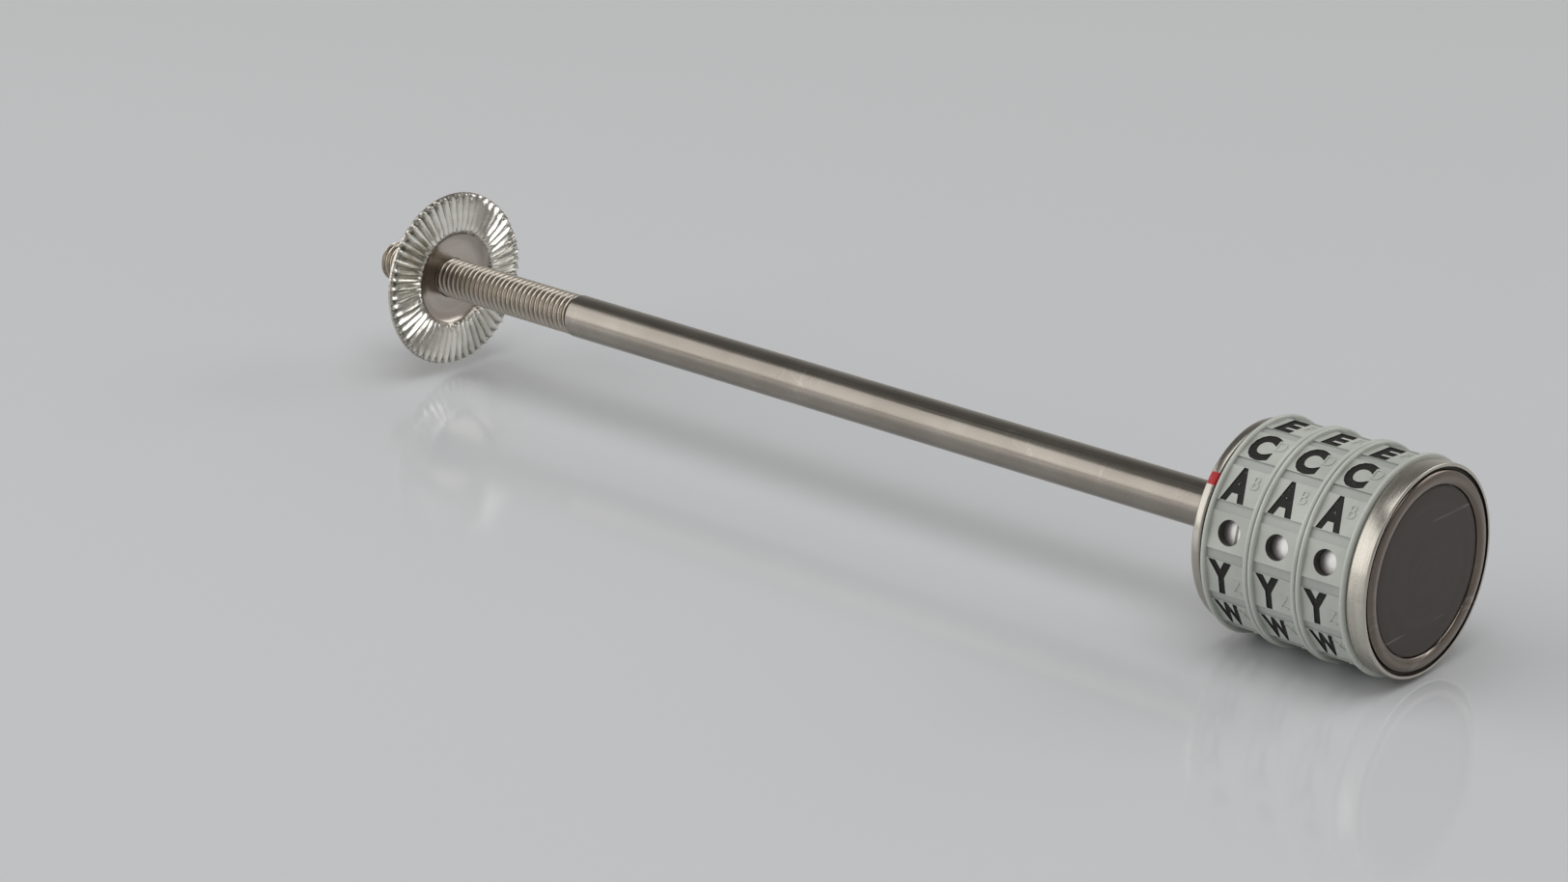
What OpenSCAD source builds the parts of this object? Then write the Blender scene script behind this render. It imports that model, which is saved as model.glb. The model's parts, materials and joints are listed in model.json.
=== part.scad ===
// Combination wheel lock skewer, complete: a threaded skewer with a cone nut, and a
// letter lock barrel pushed over the lugged sleeve that the skewer's head sits in.
// Every piece is drawn about its own Z axis, which runs from the nut to the cap.
// There z = 0 is the flange's clamping face, and +x passes through the index mark.
// seat() lays the finished piece down along +X, on the rails of its dials.

/* [Skewer] */
// Diameter of the plain rod
rod_d = 5.1; // [4.8:0.05:5.3]
// Outside diameter of the thread
thread_d = 4.9; // [4.5:0.05:5]
// Length of the thread, from the rod's end
thread_len = 33; // [30:0.5:50]
// Height of the chamfer on the rod's end
tip_chamfer = 0.6; // [0.3:0.05:0.9]
// Distance clamped between the nut and the flange
grip = 120; // [90:0.5:160]
// Length of the rod past the nut's clamping face
rod_past_nut = 12.1; // [10:0.25:25]
// Radial gap between the skewer's head and the bore that it sits in
head_gap = 0.5; // [0.1:0.05:0.8]
// Height of the skewer's head
head_h = 6; // [5:0.1:8]
// Radius of the head's rounded edge
head_round = 0.9; // [0.3:0.05:1.2]
// Width across flats of the hex socket
socket_af = 5; // [4:0.5:6]
// Depth of the hex socket
socket_depth = 4; // [2.5:0.1:4.5]

/* [Cone nut] */
// Diameter of the nut's serrated face
nut_d = 21.5; // [19:0.1:23]
// Diameter of the nut's small end
nut_top_d = 8; // [7:0.1:10]
// Height of the whole nut
nut_h = 7.5; // [6:0.1:10]
// Height of the straight rim round the nut's face
nut_rim_h = 1.1; // [0.8:0.05:1.5]
// Diameter of the dished recess in the nut's face
dish_d = 11.8; // [9:0.1:13]
// Depth of the dished recess
dish_depth = 1.3; // [0.6:0.05:1.6]
// Number of radial teeth on the nut's face
tooth_count = 56; // [48:1:60]
// Depth of the teeth at the nut's rim
tooth_depth = 0.5; // [0.3:0.01:0.55]
// Number of turned rings on the cone
turned_rings = 7; // [0:1:10]
// Depth of a turned ring
turned_depth = 0.12; // [0.05:0.01:0.2]

/* [Locking sleeve] */
// Step from the dials' rails down to the flange's rim
flange_step = 0.75; // [0.3:0.05:1.2]
// Thickness of the flange
flange_t = 1.6; // [1.4:0.05:2.5]
// Chamfer of the flange's edges
flange_chamfer = 0.3; // [0.1:0.05:0.5]
// Wall of the post round the skewer's head
post_wall = 0.9; // [0.6:0.05:1.2]
// Height of a lug above the post's skin
lug_rise = 1.2; // [0.9:0.05:1.25]
// Width of a lug round the post
lug_w = 1.6; // [1:0.05:1.8]
// Length of a lug along the post
lug_len = 1; // [0.6:0.05:1.1]
// Width of the painted index mark
mark_w = 1.4; // [0.8:0.05:2]
// Depth of the index mark's notch
mark_depth = 0.35; // [0.2:0.05:0.5]

/* [Dials] */
// Number of dials
dial_count = 3; // [3:1:3]
// Number of places on each dial
places = 14; // [12:1:16]
// Width of one dial
dial_w = 5.75; // [5.4:0.05:6.2]
// Gap between two dials
dial_gap = 0.1; // [0.06:0.01:0.2]
// Diameter over a dial's rails
rail_d = 23.4; // [22.6:0.1:25]
// Width of a rail
rail_w = 0.5; // [0.3:0.05:0.8]
// Height of a rail above the letter panels
rail_rise = 0.6; // [0.5:0.05:0.8]
// Width of the groove between two panels
groove_w = 1.1; // [0.6:0.05:1.6]
// Depth of that groove below the panels' shared corner
groove_depth = 0.3; // [0.15:0.01:0.45]
// Thickness of a dial's wall under the panels
dial_wall = 1.75; // [1.4:0.05:1.9]
// Diameter of the pin that locks a code ring in its dial
pin_d = 2.7; // [2:0.05:2.8]
// Depth of the pin's end below the panel
pin_sink = 1.35; // [0.8:0.05:1.4]

/* [Lock core] */
// Wall of the slotted tube that the code rings turn on
core_wall = 0.5; // [0.4:0.01:0.6]
// Thickness of the notched end plate
plate_t = 1.2; // [1.05:0.05:1.3]
// Width of one code ring
ring_w = 4.45; // [4.2:0.01:4.5]
// Wall of a code ring
ring_wall = 2.29; // [2.2:0.01:2.6]
// Diameter of a click ball
ball_d = 1.2; // [0.9:0.05:1.3]
// Depth of a click ball's pocket in the code ring
pocket_depth = 2.7; // [2.3:0.05:3.2]
// Diameter of the click spring's wire
spring_wire = 0.2; // [0.14:0.01:0.24]
// Number of turns in a click spring
spring_turns = 3; // [2:1:4]

/* [End cap] */
// Step from the dials' rails down to the cap's side
cap_step = 0.45; // [0.2:0.05:0.8]
// Thickness of the cap's floor
cap_floor = 0.6; // [0.4:0.05:0.8]
// Thickness of the bare disc in the cap
disc_t = 0.3; // [0.2:0.05:0.5]
// Width of the cap's rim round the bare disc
cap_rim_w = 2.3; // [1.8:0.05:2.8]
// Depth of the disc below the cap's rim
disc_sink = 0.35; // [0.2:0.05:0.6]
// Width of the cap's wall outside its groove
cap_edge_w = 0.4; // [0.3:0.05:0.6]
// Width of the groove round the cap's rim
cap_groove_w = 0.3; // [0.15:0.05:0.35]

/* [Fits] */
// Radial clearance of the rod in the sleeve and of the thread in the nut
screw_clear = 0.05; // [0.02:0.01:0.1]
// Gap under the skewer's head
head_play = 0.05; // [0.02:0.01:0.1]
// Gap between the post and the core that slides over it
post_clear = 0.1; // [0.06:0.01:0.15]
// Radial clearance of a code ring on the core
turn_clear = 0.05; // [0.03:0.01:0.1]
// Radial gap left by a pressed piece
press_clear = 0.01; // [0.005:0.005:0.02]
// Gap between the flange and the lock barrel
barrel_gap = 0.05; // [0.03:0.01:0.1]
// Gap beside each code ring
side_play = 0.08; // [0.05:0.01:0.1]
// Gap on each side of a lug in its slot
slot_clear = 0.15; // [0.1:0.01:0.2]
// Gap between the core's plates and a dial's bore
bore_gap = 0.1; // [0.06:0.01:0.15]

/* [Pose] */
// Height of the index mark round the barrel, in degrees above level
index_angle = 41; // [0:1:90]

/* [Hidden] */
$fn = 96;
eps = 0.01;
clear_cut = 1;

// Turning
step = 360 / places;
lug_seats = [0, 2, 5, 7, 10, 13];
pin_seat = 1;
pocket_seat = 8.5;

// Radii of the dials and rings, from the outside in
rail_r = rail_d / 2;
panel_r = rail_r - rail_rise;
corner_r = panel_r / cos(step / 2);
dial_bore_r = panel_r - dial_wall;
ring_r = dial_bore_r - press_clear;
ring_bore_r = ring_r - ring_wall;
plate_r = dial_bore_r - bore_gap;

// Radii of the core, the sleeve in it and the skewer in that
core_r = ring_bore_r - turn_clear;
core_in_r = core_r - core_wall;
post_r = core_in_r - post_clear;
head_bore_r = post_r - post_wall;
head_r = head_bore_r - head_gap;
rod_r = rod_d / 2;
thread_r = thread_d / 2;
lug_r = post_r + lug_rise;
slot_r = lug_r + slot_clear;
slot_w = lug_w + 2 * slot_clear;

// Radii of the flange, the cap and the disc, which keep to the rails
flange_r = rail_r - flange_step;
cap_r = rail_r - cap_step;
disc_r = cap_r - cap_rim_w;

// Place of the pins and click pockets
pin_r = pin_d / 2;
pin_top_r = panel_r - pin_sink;
pin_foot_r = slot_r + 0.25;
pocket_clear = 0.05;
pocket_r = ball_d / 2 + pocket_clear;
pocket_at_r = (slot_r + ring_r) / 2;

// Places along the axis
pitch = dial_w + dial_gap;
barrel_z = flange_t + barrel_gap;
dial_z = barrel_z + barrel_gap;
plate_end = barrel_z + plate_t;
ring_z = plate_end + side_play;
spacer_t = pitch - ring_w - 2 * side_play;
lug_z = barrel_z + barrel_gap + 0.05;
post_end = lug_z + dial_count * pitch + lug_len;
floor_z = post_end + barrel_gap + 0.05;
cap_z = dial_z + dial_count * pitch;
disc_z = floor_z + cap_floor;
cap_end = disc_z + disc_t + disc_sink;
head_end = post_end - 1.1;
shoulder_z = head_end - head_h - head_play;
rod_end = -grip - rod_past_nut;

// Place of the whole part: its middle over the origin, its rails on the floor
length = cap_end - rod_end;
mid_z = (cap_end + rod_end) / 2;

function dial_at(k) = dial_z + k * pitch;
function ring_at(k) = ring_z + k * pitch;

// Corner points of a quarter round, from angle a, about the centre c
function arc(c, r, a, n = 5) =
    [for (i = [0:n]) [c[0] + r * cos(a + 90 * i / n), c[1] + r * sin(a + 90 * i / n)]];

module seat() {
    translate([-mid_z, 0, rail_r])
        rotate([0, 90, 0])
            rotate([0, 0, 270 - index_angle])
                children();
}

// A solid turned from a list of [radius, height] points
module turned(points) {
    rotate_extrude() polygon(points);
}

// A plain ring between two radii
module ring(inner, outer, h) {
    turned([[inner, 0], [outer, 0], [outer, h], [inner, h]]);
}

// A ring with its outer edges chamfered
module soft_ring(inner, outer, h, c) {
    turned([[inner, 0], [outer - c, 0], [outer, c], [outer, h - c], [outer - c, h], [inner, h]]);
}

// One block at every lug's place, from the axis out
module at_lugs(reach, w, h) {
    for (s = lug_seats)
        rotate([0, 0, s * step])
            translate([post_r - 0.4, -w / 2, 0])
                cube([reach - post_r + 0.4, w, h]);
}

// Slots that let the lugs pass
module lug_slots(z0, z1) {
    translate([0, 0, z0]) at_lugs(slot_r, slot_w, z1 - z0);
}

// Shallow cones, one for every place of the dials
module click_seats(r, depth) {
    for (i = [0:places - 1])
        rotate([0, 0, (i + pocket_seat) * step])
            translate([r, 0, -depth])
                cylinder(r1 = depth / 2, r2 = depth * 1.5, h = 2 * depth, $fn = 24);
}

// Skewer

module hex_socket() {
    across = socket_af / cos(30);
    translate([0, 0, head_end - socket_depth])
        cylinder(d = across, h = socket_depth + clear_cut, $fn = 6);
    translate([0, 0, head_end - 0.35])
        cylinder(d1 = socket_af, d2 = across + 1, h = 0.7);
}

module skewer() {
    under = head_end - head_h;
    profile = concat(
        [[0, rod_end], [thread_r - tip_chamfer, rod_end], [thread_r, rod_end + tip_chamfer],
         [thread_r, rod_end + thread_len], [rod_r, rod_end + thread_len + abs(rod_r - thread_r)],
         [rod_r, under], [head_r - 0.3, under], [head_r, under + 0.3]],
        arc([head_r - head_round, head_end - head_round], head_round, 0),
        [[0, head_end]]
    );
    color("lightgray")
        seat()
            difference() {
                turned(profile);
                hex_socket();
            }
}

// Cone nut

// A V-shaped cutter along the radius, tilted so that the groove widens outwards
module tooth_cutter() {
    tilt = atan(tooth_depth * 0.45 / (nut_d / 2 - dish_d / 2));
    depth = tooth_depth + 0.6;
    translate([nut_d / 2, 0, -tooth_depth])
        rotate([0, tilt, 0])
            translate([-nut_d / 2 + dish_d / 2 - 0.6, 0, 0])
                rotate([90, 0, 90])
                    linear_extrude(height = nut_d / 2 - dish_d / 2 + 1.2)
                        polygon([[0, 0], [depth, depth], [-depth, depth]]);
}

module cone_nut() {
    r = nut_d / 2;
    top_r = nut_top_d / 2;
    run = (r - top_r) / (nut_h - nut_rim_h);
    ring_step = (nut_h - nut_rim_h - 0.8) / max(turned_rings, 1);
    rings = [
        for (i = [0:turned_rings - 1])
            let (z = nut_rim_h + 0.4 + i * ring_step, x = r - run * (z - nut_rim_h))
                each [[x, -z], [x - turned_depth - run * 0.15, -z - 0.15], [x - run * 0.3, -z - 0.3]]
    ];
    profile = concat(
        [[thread_r + screw_clear, 0], [r - 0.15, 0], [r, -0.15], [r, -nut_rim_h]],
        rings,
        [[top_r + 0.3 * run, -nut_h + 0.3], [top_r - 0.2, -nut_h],
         [thread_r + screw_clear + 0.35, -nut_h], [thread_r + screw_clear, -nut_h + 0.35]]
    );
    color("silver")
        seat()
            translate([0, 0, -grip])
                difference() {
                    turned(profile);
                    translate([0, 0, -dish_depth])
                        cylinder(d1 = dish_d - 2.5 * dish_depth, d2 = dish_d, h = dish_depth + eps);
                    for (i = [0:tooth_count - 1])
                        rotate([0, 0, 360 * i / tooth_count])
                            tooth_cutter();
                }
}

// Locking sleeve

// The block that the index mark fills
module mark_block() {
    translate([flange_r - mark_depth, -mark_w / 2, flange_chamfer / 2])
        cube([mark_depth + clear_cut, mark_w, flange_t]);
}

module flange() {
    c = flange_chamfer;
    band_r = flange_r - 0.95;
    seat_r = slot_r + 0.9;
    difference() {
        turned([
            [rod_r + screw_clear, 0], [flange_r - c, 0], [flange_r, c],
            [flange_r, flange_t - c], [flange_r - c, flange_t], [band_r, flange_t],
            [band_r - 0.2, flange_t - 0.2], [seat_r + 0.1, flange_t - 0.2],
            [seat_r, flange_t - 0.1], [seat_r - 0.4, flange_t - 0.1],
            [post_r, flange_t - 0.1], [rod_r + screw_clear, flange_t - 0.1]
        ]);
        translate([0, 0, flange_t - 0.2]) click_seats((band_r + seat_r) / 2, 0.2);
    }
}

module post() {
    hole_r = rod_r + screw_clear;
    bore_r = head_bore_r;
    turned([
        [hole_r, 0.2], [post_r, 0.2], [post_r, post_end - 0.15], [post_r - 0.15, post_end],
        [bore_r + 0.2, post_end], [bore_r, post_end - 0.2], [bore_r, shoulder_z], [hole_r, shoulder_z]
    ]);
}

module lugs() {
    for (k = [0:dial_count])
        translate([0, 0, lug_z + k * pitch])
            intersection() {
                at_lugs(lug_r + clear_cut, lug_w, lug_len);
                cylinder(r = lug_r, h = lug_len);
            }
}

module locking_sleeve() {
    color("silver")
        seat()
            difference() {
                union() {
                    flange();
                    post();
                    lugs();
                }
                mark_block();
            }
}

module index_mark() {
    color("firebrick")
        seat()
            intersection() {
                flange();
                mark_block();
            }
}

// Lock core

module lock_core() {
    color("gainsboro")
        seat()
            difference() {
                union() {
                    translate([0, 0, barrel_z]) soft_ring(core_in_r, plate_r, plate_t, 0.2);
                    translate([0, 0, barrel_z]) ring(core_in_r, core_r, floor_z - barrel_z);
                }
                lug_slots(barrel_z - clear_cut, floor_z + clear_cut);
                translate([0, 0, plate_end]) click_seats(pocket_at_r, 0.2);
            }
}

// The washer between two code rings
module spacer(k) {
    color("gainsboro")
        seat()
            translate([0, 0, ring_at(k) - side_play - spacer_t])
                difference() {
                    soft_ring(core_r + press_clear, plate_r, spacer_t, 0.15);
                    lug_slots(-clear_cut, spacer_t + clear_cut);
                    translate([0, 0, spacer_t]) click_seats(pocket_at_r, 0.2);
                }
}

// Dials

// The letter panels: a prism with a shallow groove along each corner
module panels() {
    difference() {
        linear_extrude(height = dial_w)
            polygon([for (i = [0:places - 1])
                corner_r * [cos((i + 0.5) * step), sin((i + 0.5) * step)]]);
        for (i = [0:places - 1])
            rotate([0, 0, (i + 0.5) * step])
                translate([corner_r - groove_depth, -groove_w / 2, rail_w])
                    cube([clear_cut, groove_w, dial_w - 2 * rail_w]);
    }
}

module rail() {
    soft_ring(dial_bore_r, rail_r, rail_w, 0.15);
}

module dial(k) {
    color([0.65, 0.68, 0.65])
        seat()
            translate([0, 0, dial_at(k)])
                difference() {
                    union() {
                        panels();
                        rail();
                        translate([0, 0, dial_w - rail_w]) rail();
                    }
                    translate([0, 0, -clear_cut]) cylinder(r = dial_bore_r, h = dial_w + 2 * clear_cut);
                    pin_hole(dial_w / 2);
                }
}

// The radial hole for the pin, at height z
module pin_hole(z) {
    rotate([0, 0, pin_seat * step])
        translate([pin_foot_r, 0, z])
            rotate([0, 90, 0])
                cylinder(r = pin_r, h = rail_r - pin_foot_r + clear_cut, $fn = 48);
}

module code_ring(k) {
    color("goldenrod")
        seat()
            translate([0, 0, ring_at(k)])
                difference() {
                    ring(ring_bore_r, ring_r, ring_w);
                    lug_slots(-clear_cut, ring_w + clear_cut);
                    pin_hole(dial_z + dial_w / 2 - ring_z);
                    rotate([0, 0, pocket_seat * step])
                        translate([pocket_at_r, 0, -clear_cut])
                            cylinder(r = pocket_r, h = pocket_depth + clear_cut, $fn = 32);
                }
}

module dial_pin(k) {
    foot = pin_foot_r + press_clear;
    tall = pin_top_r - foot;
    r = pin_r - press_clear;
    color("whitesmoke")
        seat()
            translate([0, 0, dial_at(k) + dial_w / 2])
                rotate([0, 0, pin_seat * step])
                    translate([foot, 0, 0])
                        rotate([0, 90, 0])
                            rotate_extrude($fn = 48)
                                polygon([[0, 0], [r, 0], [r, tall - 0.15], [r - 0.15, tall], [0, tall]]);
}

// Click works

// The ball's nose stands in the gap beside the code ring
ball_z = ball_d / 2 - side_play + press_clear;

// Carries a piece of the click works of dial k to its pocket
module in_pocket(k) {
    seat()
        rotate([0, 0, pocket_seat * step])
            translate([pocket_at_r, 0, ring_at(k)])
                children();
}

module click_ball(k) {
    color("white") in_pocket(k) translate([0, 0, ball_z]) sphere(d = ball_d, $fn = 32);
}

// A closed tube swept along a list of points, with a list of ring frames
function coil_point(t, r, lead) = [r * cos(360 * t), r * sin(360 * t), lead * t];

module coil(r, wire_r, turns, h, sides = 6, per_turn = 12) {
    lead = h / turns;
    n = turns * per_turn;
    points = [
        for (i = [0:n])
            let (t = i / per_turn, c = coil_point(t, r, lead), out = [cos(360 * t), sin(360 * t), 0])
                for (j = [0:sides - 1])
                    c + wire_r * (cos(360 * j / sides) * out + [0, 0, sin(360 * j / sides)])
    ];
    walls = [
        for (i = [0:n - 1], j = [0:sides - 1])
            let (a = i * sides + j, b = i * sides + (j + 1) % sides)
                each [[a, b, b + sides], [a, b + sides, a + sides]]
    ];
    start = [[for (j = [sides - 1:-1:0]) j]];
    end = [[for (j = [0:sides - 1]) n * sides + j]];
    polyhedron(points, concat(walls, start, end), convexity = 10);
}

module click_spring(k) {
    wire_r = spring_wire / 2;
    coil_r = pocket_r - wire_r - 0.08;
    back = sqrt(pow(ball_d / 2 + wire_r, 2) - pow(coil_r, 2));
    z0 = ball_z + back + 0.02;
    color("darkgray")
        in_pocket(k)
            translate([0, 0, z0])
                coil(coil_r, wire_r, spring_turns, pocket_depth - z0 - wire_r - 0.02);
}

// End cap

module end_cap() {
    c = 0.15;
    wall_end = cap_end - 0.2;
    groove_r = cap_r - cap_edge_w;
    bead_r = groove_r - cap_groove_w;
    seat_r = disc_r + 0.05;
    color("silver")
        seat()
            difference() {
                turned(concat(
                    [[core_r + press_clear, cap_z], [cap_r - 2 * c, cap_z], [cap_r, cap_z + 2 * c]],
                    arc([cap_r - c, wall_end - c], c, 0, 3),
                    [[groove_r, wall_end], [groove_r, wall_end - 0.3], [bead_r, wall_end - 0.3]],
                    arc([bead_r - 0.35, cap_end - 0.35], 0.35, 0),
                    arc([seat_r + 0.2, cap_end - 0.2], 0.2, 90, 3),
                    [[seat_r, disc_z], [0, disc_z], [0, floor_z], [core_r + press_clear, floor_z]]
                ));
                lug_slots(cap_z - clear_cut, floor_z);
            }
}

module cap_disc() {
    r = disc_r;
    color("dimgray")
        seat()
            translate([0, 0, disc_z])
                turned([[0, 0], [r, 0], [r, disc_t - 0.1], [r - 0.1, disc_t], [0, disc_t]]);
}

skewer();
cone_nut();
locking_sleeve();
index_mark();
lock_core();
spacer(1);  // spacer_1
spacer(2);  // spacer_2
end_cap();
cap_disc();
dial(0);  // dial_1
dial(1);  // dial_2
dial(2);  // dial_3
code_ring(0);  // code_ring_1
code_ring(1);  // code_ring_2
code_ring(2);  // code_ring_3
dial_pin(0);  // dial_pin_1
dial_pin(1);  // dial_pin_2
dial_pin(2);  // dial_pin_3
click_ball(0);  // click_ball_1
click_ball(1);  // click_ball_2
click_ball(2);  // click_ball_3
click_spring(0);  // click_spring_1
click_spring(1);  // click_spring_2
click_spring(2);  // click_spring_3
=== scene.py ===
"""Dresses a combination wheel lock skewer.

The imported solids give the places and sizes. Here each piece that shows is turned,
cut and lettered again with a finer surface, and every finish is a node material.
Lengths are millimetres while a piece is on the bench and metres once it is set down.
"""

import json
import logging
import math
from dataclasses import dataclass
from enum import Enum
from typing import Callable, Iterable, List, Optional, Sequence, Tuple

import bpy
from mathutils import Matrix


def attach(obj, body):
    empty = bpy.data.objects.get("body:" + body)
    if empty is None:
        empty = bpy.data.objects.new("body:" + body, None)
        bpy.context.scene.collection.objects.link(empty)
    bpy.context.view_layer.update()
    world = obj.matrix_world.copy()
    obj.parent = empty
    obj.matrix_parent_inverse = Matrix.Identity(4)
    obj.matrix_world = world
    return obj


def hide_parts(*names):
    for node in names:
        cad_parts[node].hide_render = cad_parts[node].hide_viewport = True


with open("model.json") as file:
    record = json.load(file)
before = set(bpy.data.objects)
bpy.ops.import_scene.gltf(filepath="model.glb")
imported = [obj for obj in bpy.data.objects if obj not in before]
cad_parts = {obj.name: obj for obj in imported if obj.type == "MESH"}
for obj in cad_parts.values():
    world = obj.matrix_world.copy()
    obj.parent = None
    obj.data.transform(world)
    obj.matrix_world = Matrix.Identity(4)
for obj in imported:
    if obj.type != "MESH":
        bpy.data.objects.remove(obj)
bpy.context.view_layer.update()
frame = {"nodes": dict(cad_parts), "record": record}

log = logging.getLogger("wheel_lock_skewer")

Piece = bpy.types.Object
Socket = bpy.types.NodeSocket
Station = Tuple[float, float]
Triple = Tuple[float, float, float]

MM = 0.001
SEGMENTS = 224
PEG_SEGMENTS = 64
WELD = 0.0005
ALONG_AXIS = (0, math.pi / 2, 0)
MOUNTS = {mount["name"]: mount for mount in frame["record"]["mounts"]}
FLANGE_X = MOUNTS["clamp_face"]["pos_m"][0] / MM
AXIS_Z = MOUNTS["thread_tip"]["pos_m"][2] / MM


class Body(Enum):
    """The moving bodies that pieces ride on."""

    SLEEVE = "sleeve"
    SKEWER = "skewer"
    NUT = "nut"
    BARREL = "lock_barrel"
    DIAL_1 = "dial_1"
    DIAL_2 = "dial_2"
    DIAL_3 = "dial_3"


class Slot(Enum):
    """The record's slots for the pieces that are dressed again."""

    SKEWER = "skewer_steel"
    NUT = "nut_steel"
    SLEEVE = "sleeve_steel"
    MARK = "red_enamel"
    CORE = "core_steel"
    CAP = "cap_nickel"
    DISC = "dark_disc"
    DIAL = "dial_paint"
    PIN = "pin_steel"


# Places round and along the axis


@dataclass(frozen=True)
class Dialling:
    """How the places of the dials lie round the axis.

    Angles are degrees above level, on the side that shows the open code.
    """

    index: float = 41.0
    places: int = 14
    lug_seats: Tuple[int, ...] = (0, 2, 5, 7, 10, 13)

    @property
    def step(self) -> float:
        """The angle from one place to the next."""
        return 360.0 / self.places

    def angle(self, place: float) -> float:
        """The angle of a place, counted upwards from the index mark.

        Args:
            place: places above the mark, which may be a fraction.

        Returns:
            The angle in degrees above level.
        """
        return self.index + place * self.step

    def lug_angles(self) -> List[float]:
        """The angles of the lugs and of the slots that let them pass."""
        return [self.angle(-seat) for seat in self.lug_seats]


DIALLING = Dialling()


def round_axis(along: float, radius: float, angle: float) -> Triple:
    """A point beside the axis, in bench millimetres.

    Args:
        along: distance from the flange's clamping face towards the cap.
        radius: distance from the axis.
        angle: degrees above level.

    Returns:
        The point's x, y and z.
    """
    a = math.radians(angle)
    return (FLANGE_X + along, -radius * math.cos(a), AXIS_Z + radius * math.sin(a))


def on_axis(along: float) -> Triple:
    """A point on the axis, in bench millimetres.

    Args:
        along: distance from the flange's clamping face towards the cap.

    Returns:
        The point's x, y and z.
    """
    return (FLANGE_X + along, 0, AXIS_Z)


def from_axis(place: Triple) -> float:
    """How far a point is from the axis.

    Args:
        place: the point's x, y and z in bench millimetres.

    Returns:
        The distance in millimetres.
    """
    return math.hypot(place[1], place[2] - AXIS_Z)


def outwards(angle: float) -> Triple:
    """The turn that points Z straight out from the axis.

    Args:
        angle: degrees above level.

    Returns:
        The rotation about x, y and z.
    """
    return (math.radians(90 - angle), 0, 0)


def rounding(along: float, radius: float, bend: float, first: float, last: float,
             steps: int = 5) -> List[Station]:
    """Stations along a round corner of a turned profile.

    Args:
        along: where the corner's centre is along the axis.
        radius: how far that centre is from the axis.
        bend: the corner's radius.
        first: angle at which the corner starts, 0 towards the cap and 90 outwards.
        last: angle at which it ends.
        steps: how many chords it has.

    Returns:
        The stations in order.
    """
    turns = [math.radians(first + (last - first) * i / steps) for i in range(steps + 1)]
    return [(along + bend * math.cos(t), radius + bend * math.sin(t)) for t in turns]


# The bench: modelling operators


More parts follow.
